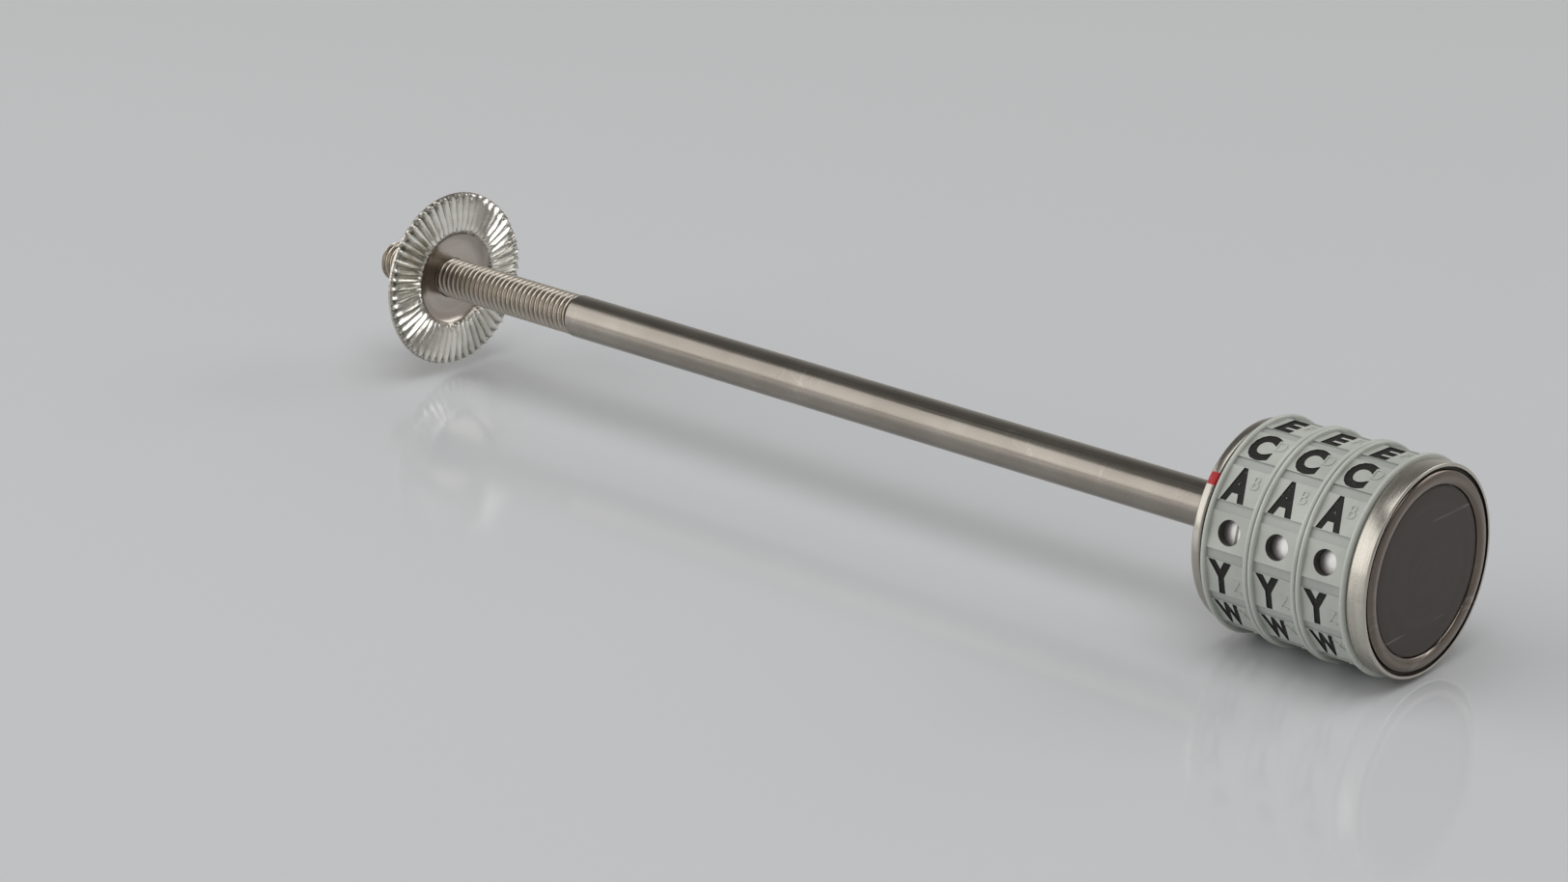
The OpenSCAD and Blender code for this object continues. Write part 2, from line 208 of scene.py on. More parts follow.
class Bench:
    """Models pieces with Blender's operators, in millimetres."""

    @staticmethod
    def clear() -> None:
        """Selects nothing."""
        bpy.ops.object.select_all(action="DESELECT")

    @staticmethod
    def only(piece: Piece) -> None:
        """Selects one piece and makes it active."""
        Bench.clear()
        piece.select_set(True)
        bpy.context.view_layer.objects.active = piece

    @staticmethod
    def apply() -> None:
        """Writes the selected pieces' place, turn and scale into their meshes."""
        bpy.ops.object.transform_apply(location=True, rotation=True, scale=True)

    @staticmethod
    def named(name: str) -> Piece:
        """Names the object that an operator has just made.

        Args:
            name: the name of the object and of its data.

        Returns:
            The object.
        """
        piece = bpy.context.object
        piece.name = piece.data.name = name
        return piece

    @staticmethod
    def modify(piece: Piece, kind: str, **settings: object) -> Piece:
        """Adds a modifier to a piece and applies it.

        Args:
            piece: what is changed.
            kind: the modifier's type.
            settings: its settings, by name.

        Returns:
            The changed piece.
        """
        Bench.only(piece)
        bpy.ops.object.modifier_add(type=kind)
        modifier = piece.modifiers[-1]
        for name, value in settings.items():
            setattr(modifier, name, value)
        bpy.ops.object.modifier_apply(modifier=modifier.name)
        return piece

    @staticmethod
    def widen(scale: float, along: float) -> None:
        """In edit mode, scales the selection away from the axis.

        Args:
            scale: how much farther from the axis it gets.
            along: where its middle is along the axis.
        """
        bpy.ops.transform.resize(value=(1, scale, scale), center_override=on_axis(along))

    @staticmethod
    def turn(name: str, stations: Sequence[Station], segments: int = SEGMENTS) -> Piece:
        """Turns a solid about the axis, ring by ring.

        A first or last station at radius 0 closes that end at its centre. Otherwise the
        profile is a loop, and its last ring is joined to its first.

        Args:
            name: the new piece's name.
            stations: (along, radius) pairs, in order round the profile.
            segments: how many sides each ring has.

        Returns:
            The new piece.
        """
        Bench.clear()
        solid = stations[0][1] == 0
        rings = list(stations[1:]) if solid else list(stations) + [stations[0]]
        here, radius = rings[0]
        bpy.ops.mesh.primitive_circle_add(
            vertices=segments, radius=radius, fill_type="TRIFAN" if solid else "NOTHING",
            location=on_axis(here), rotation=ALONG_AXIS)
        piece = Bench.named(name)
        bpy.ops.object.mode_set(mode="EDIT")
        bpy.ops.mesh.select_mode(type="VERT")
        if solid:
            Bench.select(lambda place: from_axis(place) > radius / 2)
        for along, wide in rings[1:]:
            bpy.ops.mesh.extrude_edges_move(
                TRANSFORM_OT_translate={"value": (along - here, 0, 0)})
            if wide == 0:
                bpy.ops.mesh.merge(type="CENTER")
                break
            if wide != radius:
                Bench.widen(wide / radius, along)
            here, radius = along, wide
        bpy.ops.mesh.select_all(action="SELECT")
        bpy.ops.mesh.remove_doubles(threshold=WELD)
        bpy.ops.mesh.normals_make_consistent(inside=False)
        bpy.ops.object.mode_set(mode="OBJECT")
        Bench.apply()
        return piece

    @staticmethod
    def select(wanted: Callable[[Triple], bool]) -> None:
        """In edit mode, selects the vertices of the active piece whose place is wanted.

        Args:
            wanted: says from a vertex's bench place whether it is selected.
        """
        piece = bpy.context.object
        bpy.ops.mesh.select_all(action="DESELECT")
        bpy.ops.object.mode_set(mode="OBJECT")
        for vertex in piece.data.vertices:
            vertex.select = wanted(tuple(piece.matrix_world @ vertex.co))
        bpy.ops.object.mode_set(mode="EDIT")

    @staticmethod
    def block(along: float, radius: float, angle: float, size: Triple) -> Piece:
        """A block whose middle is beside the axis, turned to face outwards.

        Args:
            along: its middle's distance from the flange's clamping face.
            radius: its middle's distance from the axis.
            angle: degrees above level.
            size: its length along the axis, its width round it and its height outwards.

        Returns:
            The block.
        """
        Bench.clear()
        bpy.ops.mesh.primitive_cube_add(
            size=1, location=round_axis(along, radius, angle), scale=size,
            rotation=outwards(angle))
        Bench.apply()
        return bpy.context.object

    @staticmethod
    def spigot(name: str, along: float, angle: float, foot: float, top: float,
               radius: float) -> Piece:
        """A round peg that points straight out from the axis.

        Args:
            name: the peg's name.
            along: its distance from the flange's clamping face.
            angle: degrees above level.
            foot: where it starts, measured from the axis.
            top: where it ends.
            radius: the peg's own radius.

        Returns:
            The peg.
        """
        Bench.clear()
        bpy.ops.mesh.primitive_cylinder_add(
            vertices=PEG_SEGMENTS, radius=radius, depth=top - foot,
            location=round_axis(along, (foot + top) / 2, angle), rotation=outwards(angle))
        Bench.apply()
        return Bench.named(name)

    @staticmethod
    def join(pieces: Sequence[Piece], name: str) -> Piece:
        """Makes one piece of several.

        Args:
            pieces: what is joined; the first keeps its object.
            name: the joined piece's name.

        Returns:
            The joined piece.
        """
        Bench.clear()
        for piece in pieces:
            piece.select_set(True)
        bpy.context.view_layer.objects.active = pieces[0]
        bpy.ops.object.join()
        return Bench.named(name)

    @staticmethod
    def combine(piece: Piece, tool: Piece,
                operation: str = "DIFFERENCE") -> Piece:
        """Cuts a piece with a tool, or adds the tool to it, and uses the tool up.

        Args:
            piece: what is changed.
            tool: a closed mesh, whose materials its faces keep.
            operation: DIFFERENCE, UNION or INTERSECT.

        Returns:
            The changed piece.
        """
        Bench.modify(piece, "BOOLEAN", object=tool, operation=operation, solver="EXACT",
                     material_mode="TRANSFER")
        bpy.data.objects.remove(tool)
        return piece

    @staticmethod
    def soften(piece: Piece, width: float, sharp: float = 30) -> Piece:
        """Rounds a piece's sharp edges, so that they catch the light.

        Args:
            piece: what is changed.
            width: the bevel's width.
            sharp: the least angle in degrees between two faces at a sharp edge.

        Returns:
            The changed piece.
        """
        return Bench.modify(piece, "BEVEL", width=width, segments=2, limit_method="ANGLE",
                            angle_limit=math.radians(sharp), use_clamp_overlap=True)

    @staticmethod
    def copy(piece: Piece, name: str, along: float = 0) -> Piece:
        """A copy of a piece with its own mesh, moved along the axis.

        Args:
            piece: what is copied.
            name: the copy's name.
            along: how far the copy is moved.

        Returns:
            The copy.
        """
        Bench.only(piece)
        bpy.ops.object.duplicate()
        twin = Bench.named(name)
        bpy.ops.transform.translate(value=(along, 0, 0))
        Bench.apply()
        return twin

    @staticmethod
    def set_down(piece: Piece, body: Body, slot: Slot, nodes: Iterable[str] = (),
                 sharp: float = 30) -> None:
        """Takes a finished piece from bench millimetres to the frame's metres.

        Args:
            piece: what is finished.
            body: the body that it rides on.
            slot: the record's slot that its finish comes from; not used.
            nodes: the solids that it stands for.
            sharp: edges flatter than this many degrees are shaded smooth.
        """
        Bench.only(piece)
        piece.scale = (MM, MM, MM)
        Bench.apply()
        bpy.ops.object.shade_smooth_by_angle(angle=math.radians(sharp))
        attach(piece, body.value)
        if nodes:
            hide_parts(*nodes)
        log.info("%s: %d faces, rides on %s", piece.name, len(piece.data.polygons), body.value)


# Finishes


class Shade:
    """Puts nodes into a tree and joins them."""

    def __init__(self, tree: bpy.types.NodeTree) -> None:
        """Starts work on a tree."""
        self.tree = tree

    def add(self, kind: str, **values: object) -> bpy.types.Node:
        """A new node.

        Args:
            kind: the node's type name, without ShaderNode.
            values: its settings, by name.

        Returns:
            The node.
        """
        node = self.tree.nodes.new("ShaderNode" + kind)
        for name, value in values.items():
            setattr(node, name, value)
        return node

    def join(self, source: Socket, target: Socket) -> None:
        """Links one socket to another."""
        self.tree.links.new(source, target)

    def feed(self, target: Socket, value: object) -> None:
        """Gives a socket a link or a plain value.

        Args:
            target: the socket to fill.
            value: another socket, or a number or vector.
        """
        if isinstance(value, Socket):
            self.join(value, target)
        else:
            target.default_value = value

    def math(self, operation: str, *terms: object, clamp: bool = False) -> Socket:
        """The result of a Math node.

        Args:
            operation: the node's operation.
            terms: sockets or numbers, as many as the operation takes.
            clamp: whether the result is kept between 0 and 1.

        Returns:
            The node's output.
        """
        node = self.add("Math", operation=operation, use_clamp=clamp)
        for target, term in zip(node.inputs, terms):
            self.feed(target, term)
        return node.outputs[0]

    def times(self, first: object, *factors: object) -> Socket:
        """A product.

        Args:
            first: a socket or number.
            factors: the sockets or numbers that it is multiplied by, in order.

        Returns:
            The product.
        """
        for factor in factors:
            first = self.math("MULTIPLY", first, factor)
        return first

    def place(self, scale: Optional[Socket] = None) -> Socket:
        """A point's place in the object.

        Args:
            scale: what the place is multiplied by, if anything.

        Returns:
            The place, in metres before it is scaled.
        """
        place = self.add("TexCoord").outputs["Object"]
        if scale is None:
            return place
        scaled = self.add("VectorMath", operation="SCALE")
        self.join(place, scaled.inputs[0])
        self.join(scale, scaled.inputs["Scale"])
        return scaled.outputs[0]

    def apart(self, vector: Socket) -> List[Socket]:
        """Takes a vector apart.

        Args:
            vector: the vector.

        Returns:
            Its x, y and z.
        """
        node = self.add("SeparateXYZ")
        self.join(vector, node.inputs[0])
        return list(node.outputs)

    def vector(self, *parts: Socket) -> Socket:
        """Puts a vector together.

        Args:
            parts: its x, y and z.

        Returns:
            The vector.
        """
        node = self.add("CombineXYZ")
        for part, target in zip(parts, node.inputs):
            self.join(part, target)
        return node.outputs[0]

    def mix(self, mask: Socket, first: object,
            second: Triple) -> Socket:
        """A colour that gives way to another.

        Args:
            mask: how much of the second colour shows.
            first: a socket, or a colour with its alpha.
            second: the other colour.

        Returns:
            The mixed colour.
        """
        node = self.add("Mix", data_type="RGBA")
        self.join(mask, node.inputs[0])
        self.feed(node.inputs[6], first)
        node.inputs[7].default_value = (*second, 1)
        return node.outputs[2]

    def group(self, effect: "Effect", **values: float) -> bpy.types.Node:
        """Places a shared effect in the tree.

        Args:
            effect: which effect it is.
            values: its inputs, by name.

        Returns:
            The group node.
        """
        node = self.add("Group", node_tree=Effects.tree(effect))
        for name, value in values.items():
            node.inputs[name.capitalize()].default_value = value
        return node

    def noise(self, vector: object, scale: float, detail: float = 3.0,
              rough: float = 0.55) -> Socket:
        """The value of a noise texture.

        Args:
            vector: the socket that places it.
            scale: its scale.
            detail: its number of octaves.
            rough: how strong the finer octaves are.

        Returns:
            The node's value, about 0.5 on average.
        """
        node = self.add("TexNoise")
        self.feed(node.inputs["Vector"], vector)
        node.inputs["Scale"].default_value = scale
        node.inputs["Detail"].default_value = detail
        node.inputs["Roughness"].default_value = rough
        return node.outputs["Fac"]

    def between(self, value: object, low: float, high: float, to_low: float = 0.0,
                to_high: float = 1.0) -> Socket:
        """A value mapped from one range to another, and clamped.

        Args:
            value: the socket that is mapped.
            low: the value that becomes to_low.
            high: the value that becomes to_high.
            to_low: the result at low.
            to_high: the result at high.

        Returns:
            The mapped value.
        """
        node = self.add("MapRange")
        self.feed(node.inputs[0], value)
        for place, number in enumerate((low, high, to_low, to_high), start=1):
            node.inputs[place].default_value = number
        return node.outputs[0]


class Effect(Enum):
    """The shader node groups that the finishes share."""

    TURNED = "turned_marks"
    DRAWN = "drawn_grain"
    HANDLED = "handling_marks"
    PAINTED = "paint_skin"
    PLACED = "place_by_the_axis"


class Effects:
    """Builds each shared node group once."""

    # The slant in radians and the fineness of each set of hair scratches.
    HAIRS = ((0.4, 190.0), (1.7, 150.0), (2.6, 230.0))
    HAIR_WIDTH = 0.006
    HAIR_SQUEEZE = 0.08

    @staticmethod
    def _group(effect: Effect, inputs: Sequence[Tuple[str, float]],
               outputs: Sequence[str]) -> Tuple[Shade, bpy.types.Node, bpy.types.Node]:
        """An empty group with its sockets.

        Args:
            effect: which group it is.
            inputs: each input's name and default value.
            outputs: each output's name.

        Returns:
            The group's tree, its input node and its output node.
        """
        tree = bpy.data.node_groups.new(effect.value, "ShaderNodeTree")
        for name, value in inputs:
            socket = tree.interface.new_socket(name, in_out="INPUT", socket_type="NodeSocketFloat")
            socket.default_value = value
        for name in outputs:
            tree.interface.new_socket(name, in_out="OUTPUT", socket_type="NodeSocketFloat")
        work = Shade(tree)
        return work, tree.nodes.new("NodeGroupInput"), tree.nodes.new("NodeGroupOutput")

    @staticmethod
    def _axis_place(work: Shade) -> Tuple[Socket, Socket, Socket]:
        """Where a point lies beside the axis.

        Args:
            work: the tree that the nodes go into.

        Returns:
            Its millimetres along the axis and from the axis, and its angle in radians.
        """
        along, side, height = (work.times(part, 1 / MM) for part in work.apart(work.place()))
        up = work.math("SUBTRACT", height, AXIS_Z)
        square = work.math("ADD", work.times(side, side), work.times(up, up))
        return along, work.math("SQRT", square), work.math("ARCTAN2", up, side)

    @staticmethod
    def turned_marks() -> bpy.types.NodeTree:
        """Fine tool rings round the axis, as a lathe leaves them."""
        work, given, out = Effects._group(
            Effect.TURNED, [("Fineness", 9.0), ("Break", 0.35)], ["Rings", "Tone"])
        along, radius, angle = Effects._axis_place(work)
        fineness = given.outputs["Fineness"]
        fine = work.vector(work.times(along, fineness), work.times(radius, fineness),
                           work.times(angle, given.outputs["Break"]))
        broad = work.vector(work.times(along, 0.8), work.times(radius, 0.8),
                            work.times(angle, 0.5))
        rings = work.noise(fine, 1.0, detail=4.0, rough=0.62)
        tone = work.noise(broad, 1.0, rough=0.6)
        work.join(work.between(rings, 0.28, 0.72), out.inputs["Rings"])
        work.join(work.between(tone, 0.3, 0.7), out.inputs["Tone"])
        return work.tree

    @staticmethod
    def drawn_grain() -> bpy.types.NodeTree:
        """Long faint streaks along the axis, as drawing a rod leaves them."""
        work, given, out = Effects._group(
            Effect.DRAWN, [("Fineness", 9.0), ("Length", 0.05)], ["Streaks", "Tone"])
        place = work.place()
        scales = (given.outputs["Length"], given.outputs["Fineness"], given.outputs["Fineness"])
        parts = [work.times(part, 1 / MM, scale) for part, scale in zip(work.apart(place), scales)]
        streaks = work.noise(work.vector(*parts), 1.0, detail=4.0, rough=0.6)
        tone = work.noise(place, 90.0, rough=0.6)
        work.join(work.between(streaks, 0.3, 0.7), out.inputs["Streaks"])
        work.join(work.between(tone, 0.3, 0.7), out.inputs["Tone"])
        return work.tree

    @staticmethod
    def handling_marks() -> bpy.types.NodeTree:
        """Hair scratches and small scuffs from handling."""
        work, given, out = Effects._group(
            Effect.HANDLED, [("Amount", 0.5), ("Scale", 1.0)], ["Scratches", "Scuffs"])
        place = work.place(given.outputs["Scale"])
        lines = None
        for turn, scale in Effects.HAIRS:
            slant = work.add("Mapping")
            work.join(place, slant.inputs["Vector"])
            slant.inputs["Rotation"].default_value = (turn, turn * 1.3, turn * 0.7)
            slant.inputs["Scale"].default_value = (1.0, Effects.HAIR_SQUEEZE, 1.0)
            wave = work.noise(slant.outputs[0], scale, detail=2.0, rough=0.5)
            away = work.math("ABSOLUTE", work.math("SUBTRACT", wave, 0.5))
            line = work.between(away, 0.0, Effects.HAIR_WIDTH, 1.0, 0.0)
            lines = line if lines is None else work.math("MAXIMUM", lines, line)
        patch = work.between(work.noise(place, 120.0, rough=0.6), 0.5, 0.62)
        scuff = work.between(work.noise(place, 420.0, detail=5.0, rough=0.7), 0.58, 0.72)
        for marks, name in ((lines, "Scratches"), (scuff, "Scuffs")):
            work.join(work.times(marks, patch, given.outputs["Amount"]), out.inputs[name])
        return work.tree

    @staticmethod
    def paint_skin() -> bpy.types.NodeTree:
        """The soft unevenness of a sprayed coat, and its slight change of tone."""
        work, given, out = Effects._group(
            Effect.PAINTED, [("Scale", 1.0)], ["Skin", "Tone", "Dust"])
        place = work.place(given.outputs["Scale"])
        skin = work.noise(place, 1500.0)
        tone = work.noise(place, 160.0, detail=4.0, rough=0.6)
        dust = work.noise(place, 2600.0, detail=2.0, rough=0.5)
        work.join(skin, out.inputs["Skin"])
        work.join(work.between(tone, 0.32, 0.68), out.inputs["Tone"])
        work.join(work.between(dust, 0.66, 0.78), out.inputs["Dust"])
        return work.tree

    @staticmethod
    def place_by_the_axis() -> bpy.types.NodeTree:
        """How far a point is along the axis from the flange's face, and how far from the axis."""
        work, _, out = Effects._group(Effect.PLACED, [], ["Along", "Radius"])
        along, radius, _ = Effects._axis_place(work)
        work.join(work.math("SUBTRACT", along, FLANGE_X), out.inputs["Along"])
        work.join(radius, out.inputs["Radius"])
        return work.tree

    @classmethod
    def tree(cls, effect: Effect) -> bpy.types.NodeTree:
        """A shared group, built the first time that it is asked for.

        Args:
            effect: which group it is.

        Returns:
            The group's tree.
        """
        made = bpy.data.node_groups.get(effect.value)
        return made if made else getattr(cls, effect.value)()


@dataclass(frozen=True)
class Finish:
    """What every finish has: a name, two tones, and how it shines.

    Its roughness varies by `spread` round `rough`, and scuffs add `scuff_rough` to it.
    """

    name: str
    tone: Triple
    second: Triple
    rough: float
    metal: float = 1.0
    coat: float = 0.0
    coat_rough: float = 0.12
    spread: float = 0.12
    scuff_rough: float = 0.2

    def start(self) -> Tuple[bpy.types.Material, Shade, bpy.types.Node]:
        """A new material with its shader.

        Returns:
            The material, its tree and its Principled node.
        """
        material = bpy.data.materials.new(self.name)
        material.use_nodes = True
        work = Shade(material.node_tree)
        shader = material.node_tree.nodes["Principled BSDF"]
        shader.inputs["Metallic"].default_value = self.metal
        shader.inputs["Roughness"].default_value = self.rough
        shader.inputs["Coat Weight"].default_value = self.coat
        shader.inputs["Coat Roughness"].default_value = self.coat_rough
        material.diffuse_color = (*self.tone, 1)
        return material, work, shader

    def shine(self, work: Shade, shader: bpy.types.Node, fine: Socket,
              worn: Socket) -> None:
        """Gives a shader its roughness.

        Args:
            work: the material's tree.
            shader: its Principled node.
            fine: what the roughness varies with, 0 to 1.
            worn: how much rougher wear has made it.
        """
        rough = work.math("MULTIPLY_ADD", fine, self.spread, self.rough - self.spread / 2)
        work.join(work.math("ADD", rough, worn, clamp=True), shader.inputs["Roughness"])

    @staticmethod
    def dent(work: Shade, shader: bpy.types.Node, height: Socket,
             depth: float) -> None:
        """Gives a shader a bumped surface.

        Args:
            work: the material's tree.
            shader: its Principled node.
            height: the surface's height, 0 to 1.
            depth: how deep that is, in millimetres.
        """
        bump = work.add("Bump")
        bump.inputs["Distance"].default_value = depth * MM
        work.join(height, bump.inputs["Height"])
        work.join(bump.outputs[0], shader.inputs["Normal"])


@dataclass(frozen=True)
class RecessShade:
    """Painted shade that darkens a recess, from where it is unshaded to where it is darkest; it
    also makes the surface rougher there.
    """

    measure: str
    clean: float
    dark: float
    tone: Triple = (0.05, 0.042, 0.034)
    amount: float = 0.85


@dataclass(frozen=True)
class PlatedMetal(Finish):
    """Nickel plate over turned or drawn steel, with marks from tools and hands."""

    grain: Effect = Effect.TURNED
    fineness: float = 9.0
    grain_depth: float = 0.004
    wear: float = 0.5
    mottle: float = 0.6
    marks_scale: float = 1.0
    scratched: Triple = (0.62, 0.6, 0.56)
    scratch_tint: float = 0.3
    scratch_depth: float = 1.5
    recess_rough: float = 0.3
    recess_shade: Optional[RecessShade] = None

    def build(self) -> bpy.types.Material:
        """The finished material."""
        material, work, shader = self.start()
        grain = work.group(self.grain, fineness=self.fineness)
        hands = work.group(Effect.HANDLED, amount=self.wear, scale=self.marks_scale)
        fine, scratches = grain.outputs[0], hands.outputs["Scratches"]
        colour = work.mix(work.times(grain.outputs["Tone"], self.mottle), (*self.tone, 1),
                          self.second)
        colour = work.mix(work.times(scratches, self.scratch_tint), colour, self.scratched)
        worn = work.times(hands.outputs["Scuffs"], self.scuff_rough)
        # Painted shade: deep in the recess the colour darkens towards the shade tone, and the
        # surface there is made rougher.
        if self.recess_shade:
            placed = work.group(Effect.PLACED).outputs[self.recess_shade.measure]
            shade_mask = work.between(placed, self.recess_shade.clean, self.recess_shade.dark, 0.0, self.recess_shade.amount)
            colour = work.mix(shade_mask, colour, self.recess_shade.tone)
            worn = work.math("ADD", worn, work.times(shade_mask, self.recess_rough))
        work.join(colour, shader.inputs["Base Color"])
        self.shine(work, shader, fine, worn)
        height = work.math("SUBTRACT", fine, work.times(scratches, self.scratch_depth))
        self.dent(work, shader, height, self.grain_depth)
        return material


@dataclass(frozen=True)
class Paint(Finish):
    """A sprayed or filled coat of paint."""

    metal: float = 0.0
    spread: float = 0.1
    scuff_rough: float = 0.15
    skin_depth: float = 0.006
    scale: float = 1.0
    wear: float = 0.3
    dust: Triple = (0.5, 0.5, 0.47)
    dust_tint: float = 0.25

    def build(self) -> bpy.types.Material:
        """The finished material."""
        material, work, shader = self.start()
        skin = work.group(Effect.PAINTED, scale=self.scale)
        hands = work.group(Effect.HANDLED, amount=self.wear)
        colour = work.mix(skin.outputs["Tone"], (*self.tone, 1), self.second)
        colour = work.mix(work.times(skin.outputs["Dust"], self.dust_tint), colour, self.dust)
        work.join(colour, shader.inputs["Base Color"])
        self.shine(work, shader, skin.outputs["Tone"],
                   work.times(hands.outputs["Scuffs"], self.scuff_rough))
        height = work.math("SUBTRACT", skin.outputs["Skin"], hands.outputs["Scratches"])
        self.dent(work, shader, height, self.skin_depth)
        return material


class Finishes:
    """Every finish on the skewer, each built once."""

    ROD = PlatedMetal("drawn_nickel_rod", (0.32, 0.293, 0.257), (0.2, 0.176, 0.15), 0.23,
                      grain=Effect.DRAWN, fineness=5.0, grain_depth=0.002, wear=0.7)
    # The thread's roots get painted shade.
    THREAD = PlatedMetal("rolled_thread", (0.55, 0.5, 0.44), (0.42, 0.38, 0.32), 0.26, fineness=6.0,
                         grain_depth=0.003, recess_shade=RecessShade("Radius", 2.25, 2.02, amount=0.5))
    # Painted light: the toothed face is a much lighter copy of the nut's metal, and the gaps
    # between its teeth get painted shade.
    NUT = PlatedMetal("nut_face_painted_light", (0.93, 0.915, 0.85), (0.76, 0.745, 0.67), 0.15, fineness=8.0,
                      grain_depth=0.006, recess_shade=RecessShade("Along", -120.4, -120.75, amount=0.7))
    CONE = PlatedMetal("turned_cone", (0.62, 0.59, 0.53), (0.46, 0.43, 0.375), 0.22, fineness=8.0,
                       grain_depth=0.006)
    # Painted shade: the dish is a darker copy of the nut's metal.
    DISH_SHADE = PlatedMetal("nut_dish_painted_shade", (0.5, 0.455, 0.405), (0.36, 0.32, 0.28), 0.2, fineness=8.0,
                       grain_depth=0.006)
    SLEEVE = PlatedMetal("turned_sleeve", (0.45, 0.425, 0.38), (0.33, 0.305, 0.265), 0.24,
                         fineness=7.0)
    CORE = PlatedMetal("worn_core", (0.42, 0.385, 0.34), (0.27, 0.24, 0.2), 0.32, fineness=6.0,
                       grain_depth=0.006, wear=1.0)
    CAP = PlatedMetal("bright_cap", (0.56, 0.53, 0.474), (0.38, 0.352, 0.304), 0.27, fineness=9.0,
                      grain_depth=0.006, wear=0.8)
    # Painted shade: the cap's bead is a much darker copy of the cap's metal.
    BEAD_SHADE = PlatedMetal("bead_painted_shade", (0.22, 0.185, 0.158), (0.12, 0.098, 0.082), 0.17, fineness=7.0,
                       grain_depth=0.008, wear=1.0)
    # Painted shade: a near-black metal put into the narrow grooves of the cap and the flange.
    SHADE_IN_GAP = PlatedMetal("gap_painted_shade", (0.06, 0.05, 0.042), (0.035, 0.03, 0.025), 0.5)
    DISC = PlatedMetal("dark_bare_disc", (0.06, 0.046, 0.039), (0.04, 0.031, 0.027), 0.32,
                       metal=0.55, fineness=12.0, grain_depth=0.0015, wear=1.0, spread=0.08,
                       marks_scale=0.3, scratched=(0.4, 0.37, 0.34), scratch_tint=0.8)
    RING = PlatedMetal("turned_brass", (0.62, 0.46, 0.2), (0.45, 0.32, 0.13), 0.3, fineness=8.0)
    PIN = PlatedMetal("bright_pin", (0.95, 0.94, 0.91), (0.82, 0.81, 0.78), 0.5, fineness=8.0)
    CLICK = PlatedMetal("polished_click", (0.7, 0.7, 0.7), (0.55, 0.55, 0.55), 0.15, wear=0.2)
    DIAL = Paint("grey_dial_paint", (0.555, 0.575, 0.525), (0.455, 0.475, 0.43), 0.42, coat=0.1)
    # Painted light: the rails are a lighter copy of the dial paint.
    RAIL_LIGHT = Paint("rail_paint_painted_light", (0.61, 0.635, 0.58), (0.52, 0.545, 0.495), 0.28, coat=0.3)
    # Painted shade: the grooves between the panels are a darker copy of the dial paint.
    GROOVE_SHADE = Paint("groove_paint_painted_shade", (0.475, 0.495, 0.46), (0.4, 0.42, 0.39), 0.45)
    FILL = Paint("black_letter_fill", (0.008, 0.007, 0.006), (0.014, 0.013, 0.011), 0.75,
                 skin_depth=0.012, scale=1.6)
    # Painted shade: the wall of each dial's round hole is near black.
    HOLE_SHADE = Paint("hole_wall_painted_shade", (0.02, 0.016, 0.014), (0.035, 0.028, 0.024), 0.45)
    MARK = Paint("red_index_enamel", (0.5, 0.012, 0.014), (0.4, 0.008, 0.01), 0.4, skin_depth=0.01)

    @staticmethod
    def touch_up(piece: Piece, slot: int,
                 wanted: Callable[[float, float], bool]) -> None:
        """Gives the faces of a piece that lie in wanted places another of its finishes.

        Args:
            piece: a coated piece on the bench.
            slot: which of its finishes they get.
            wanted: says from where a face's middle is along the axis, and from its distance
                from the axis, whether it is one of them.
        """
        for face in piece.data.polygons:
            if wanted(face.center[0] - FLANGE_X, from_axis(face.center)):
                face.material_index = slot

    @staticmethod
    def coat(piece: Piece, *finishes: Finish) -> None:
        """Gives a piece its materials, in the order of its slots.

        Args:
            piece: the piece that is dressed.
            finishes: one finish for each slot.
        """
        piece.data.materials.clear()
        for finish in finishes:
            made = bpy.data.materials.get(finish.name) or finish.build()
            piece.data.materials.append(made)


# The skewer and its nut


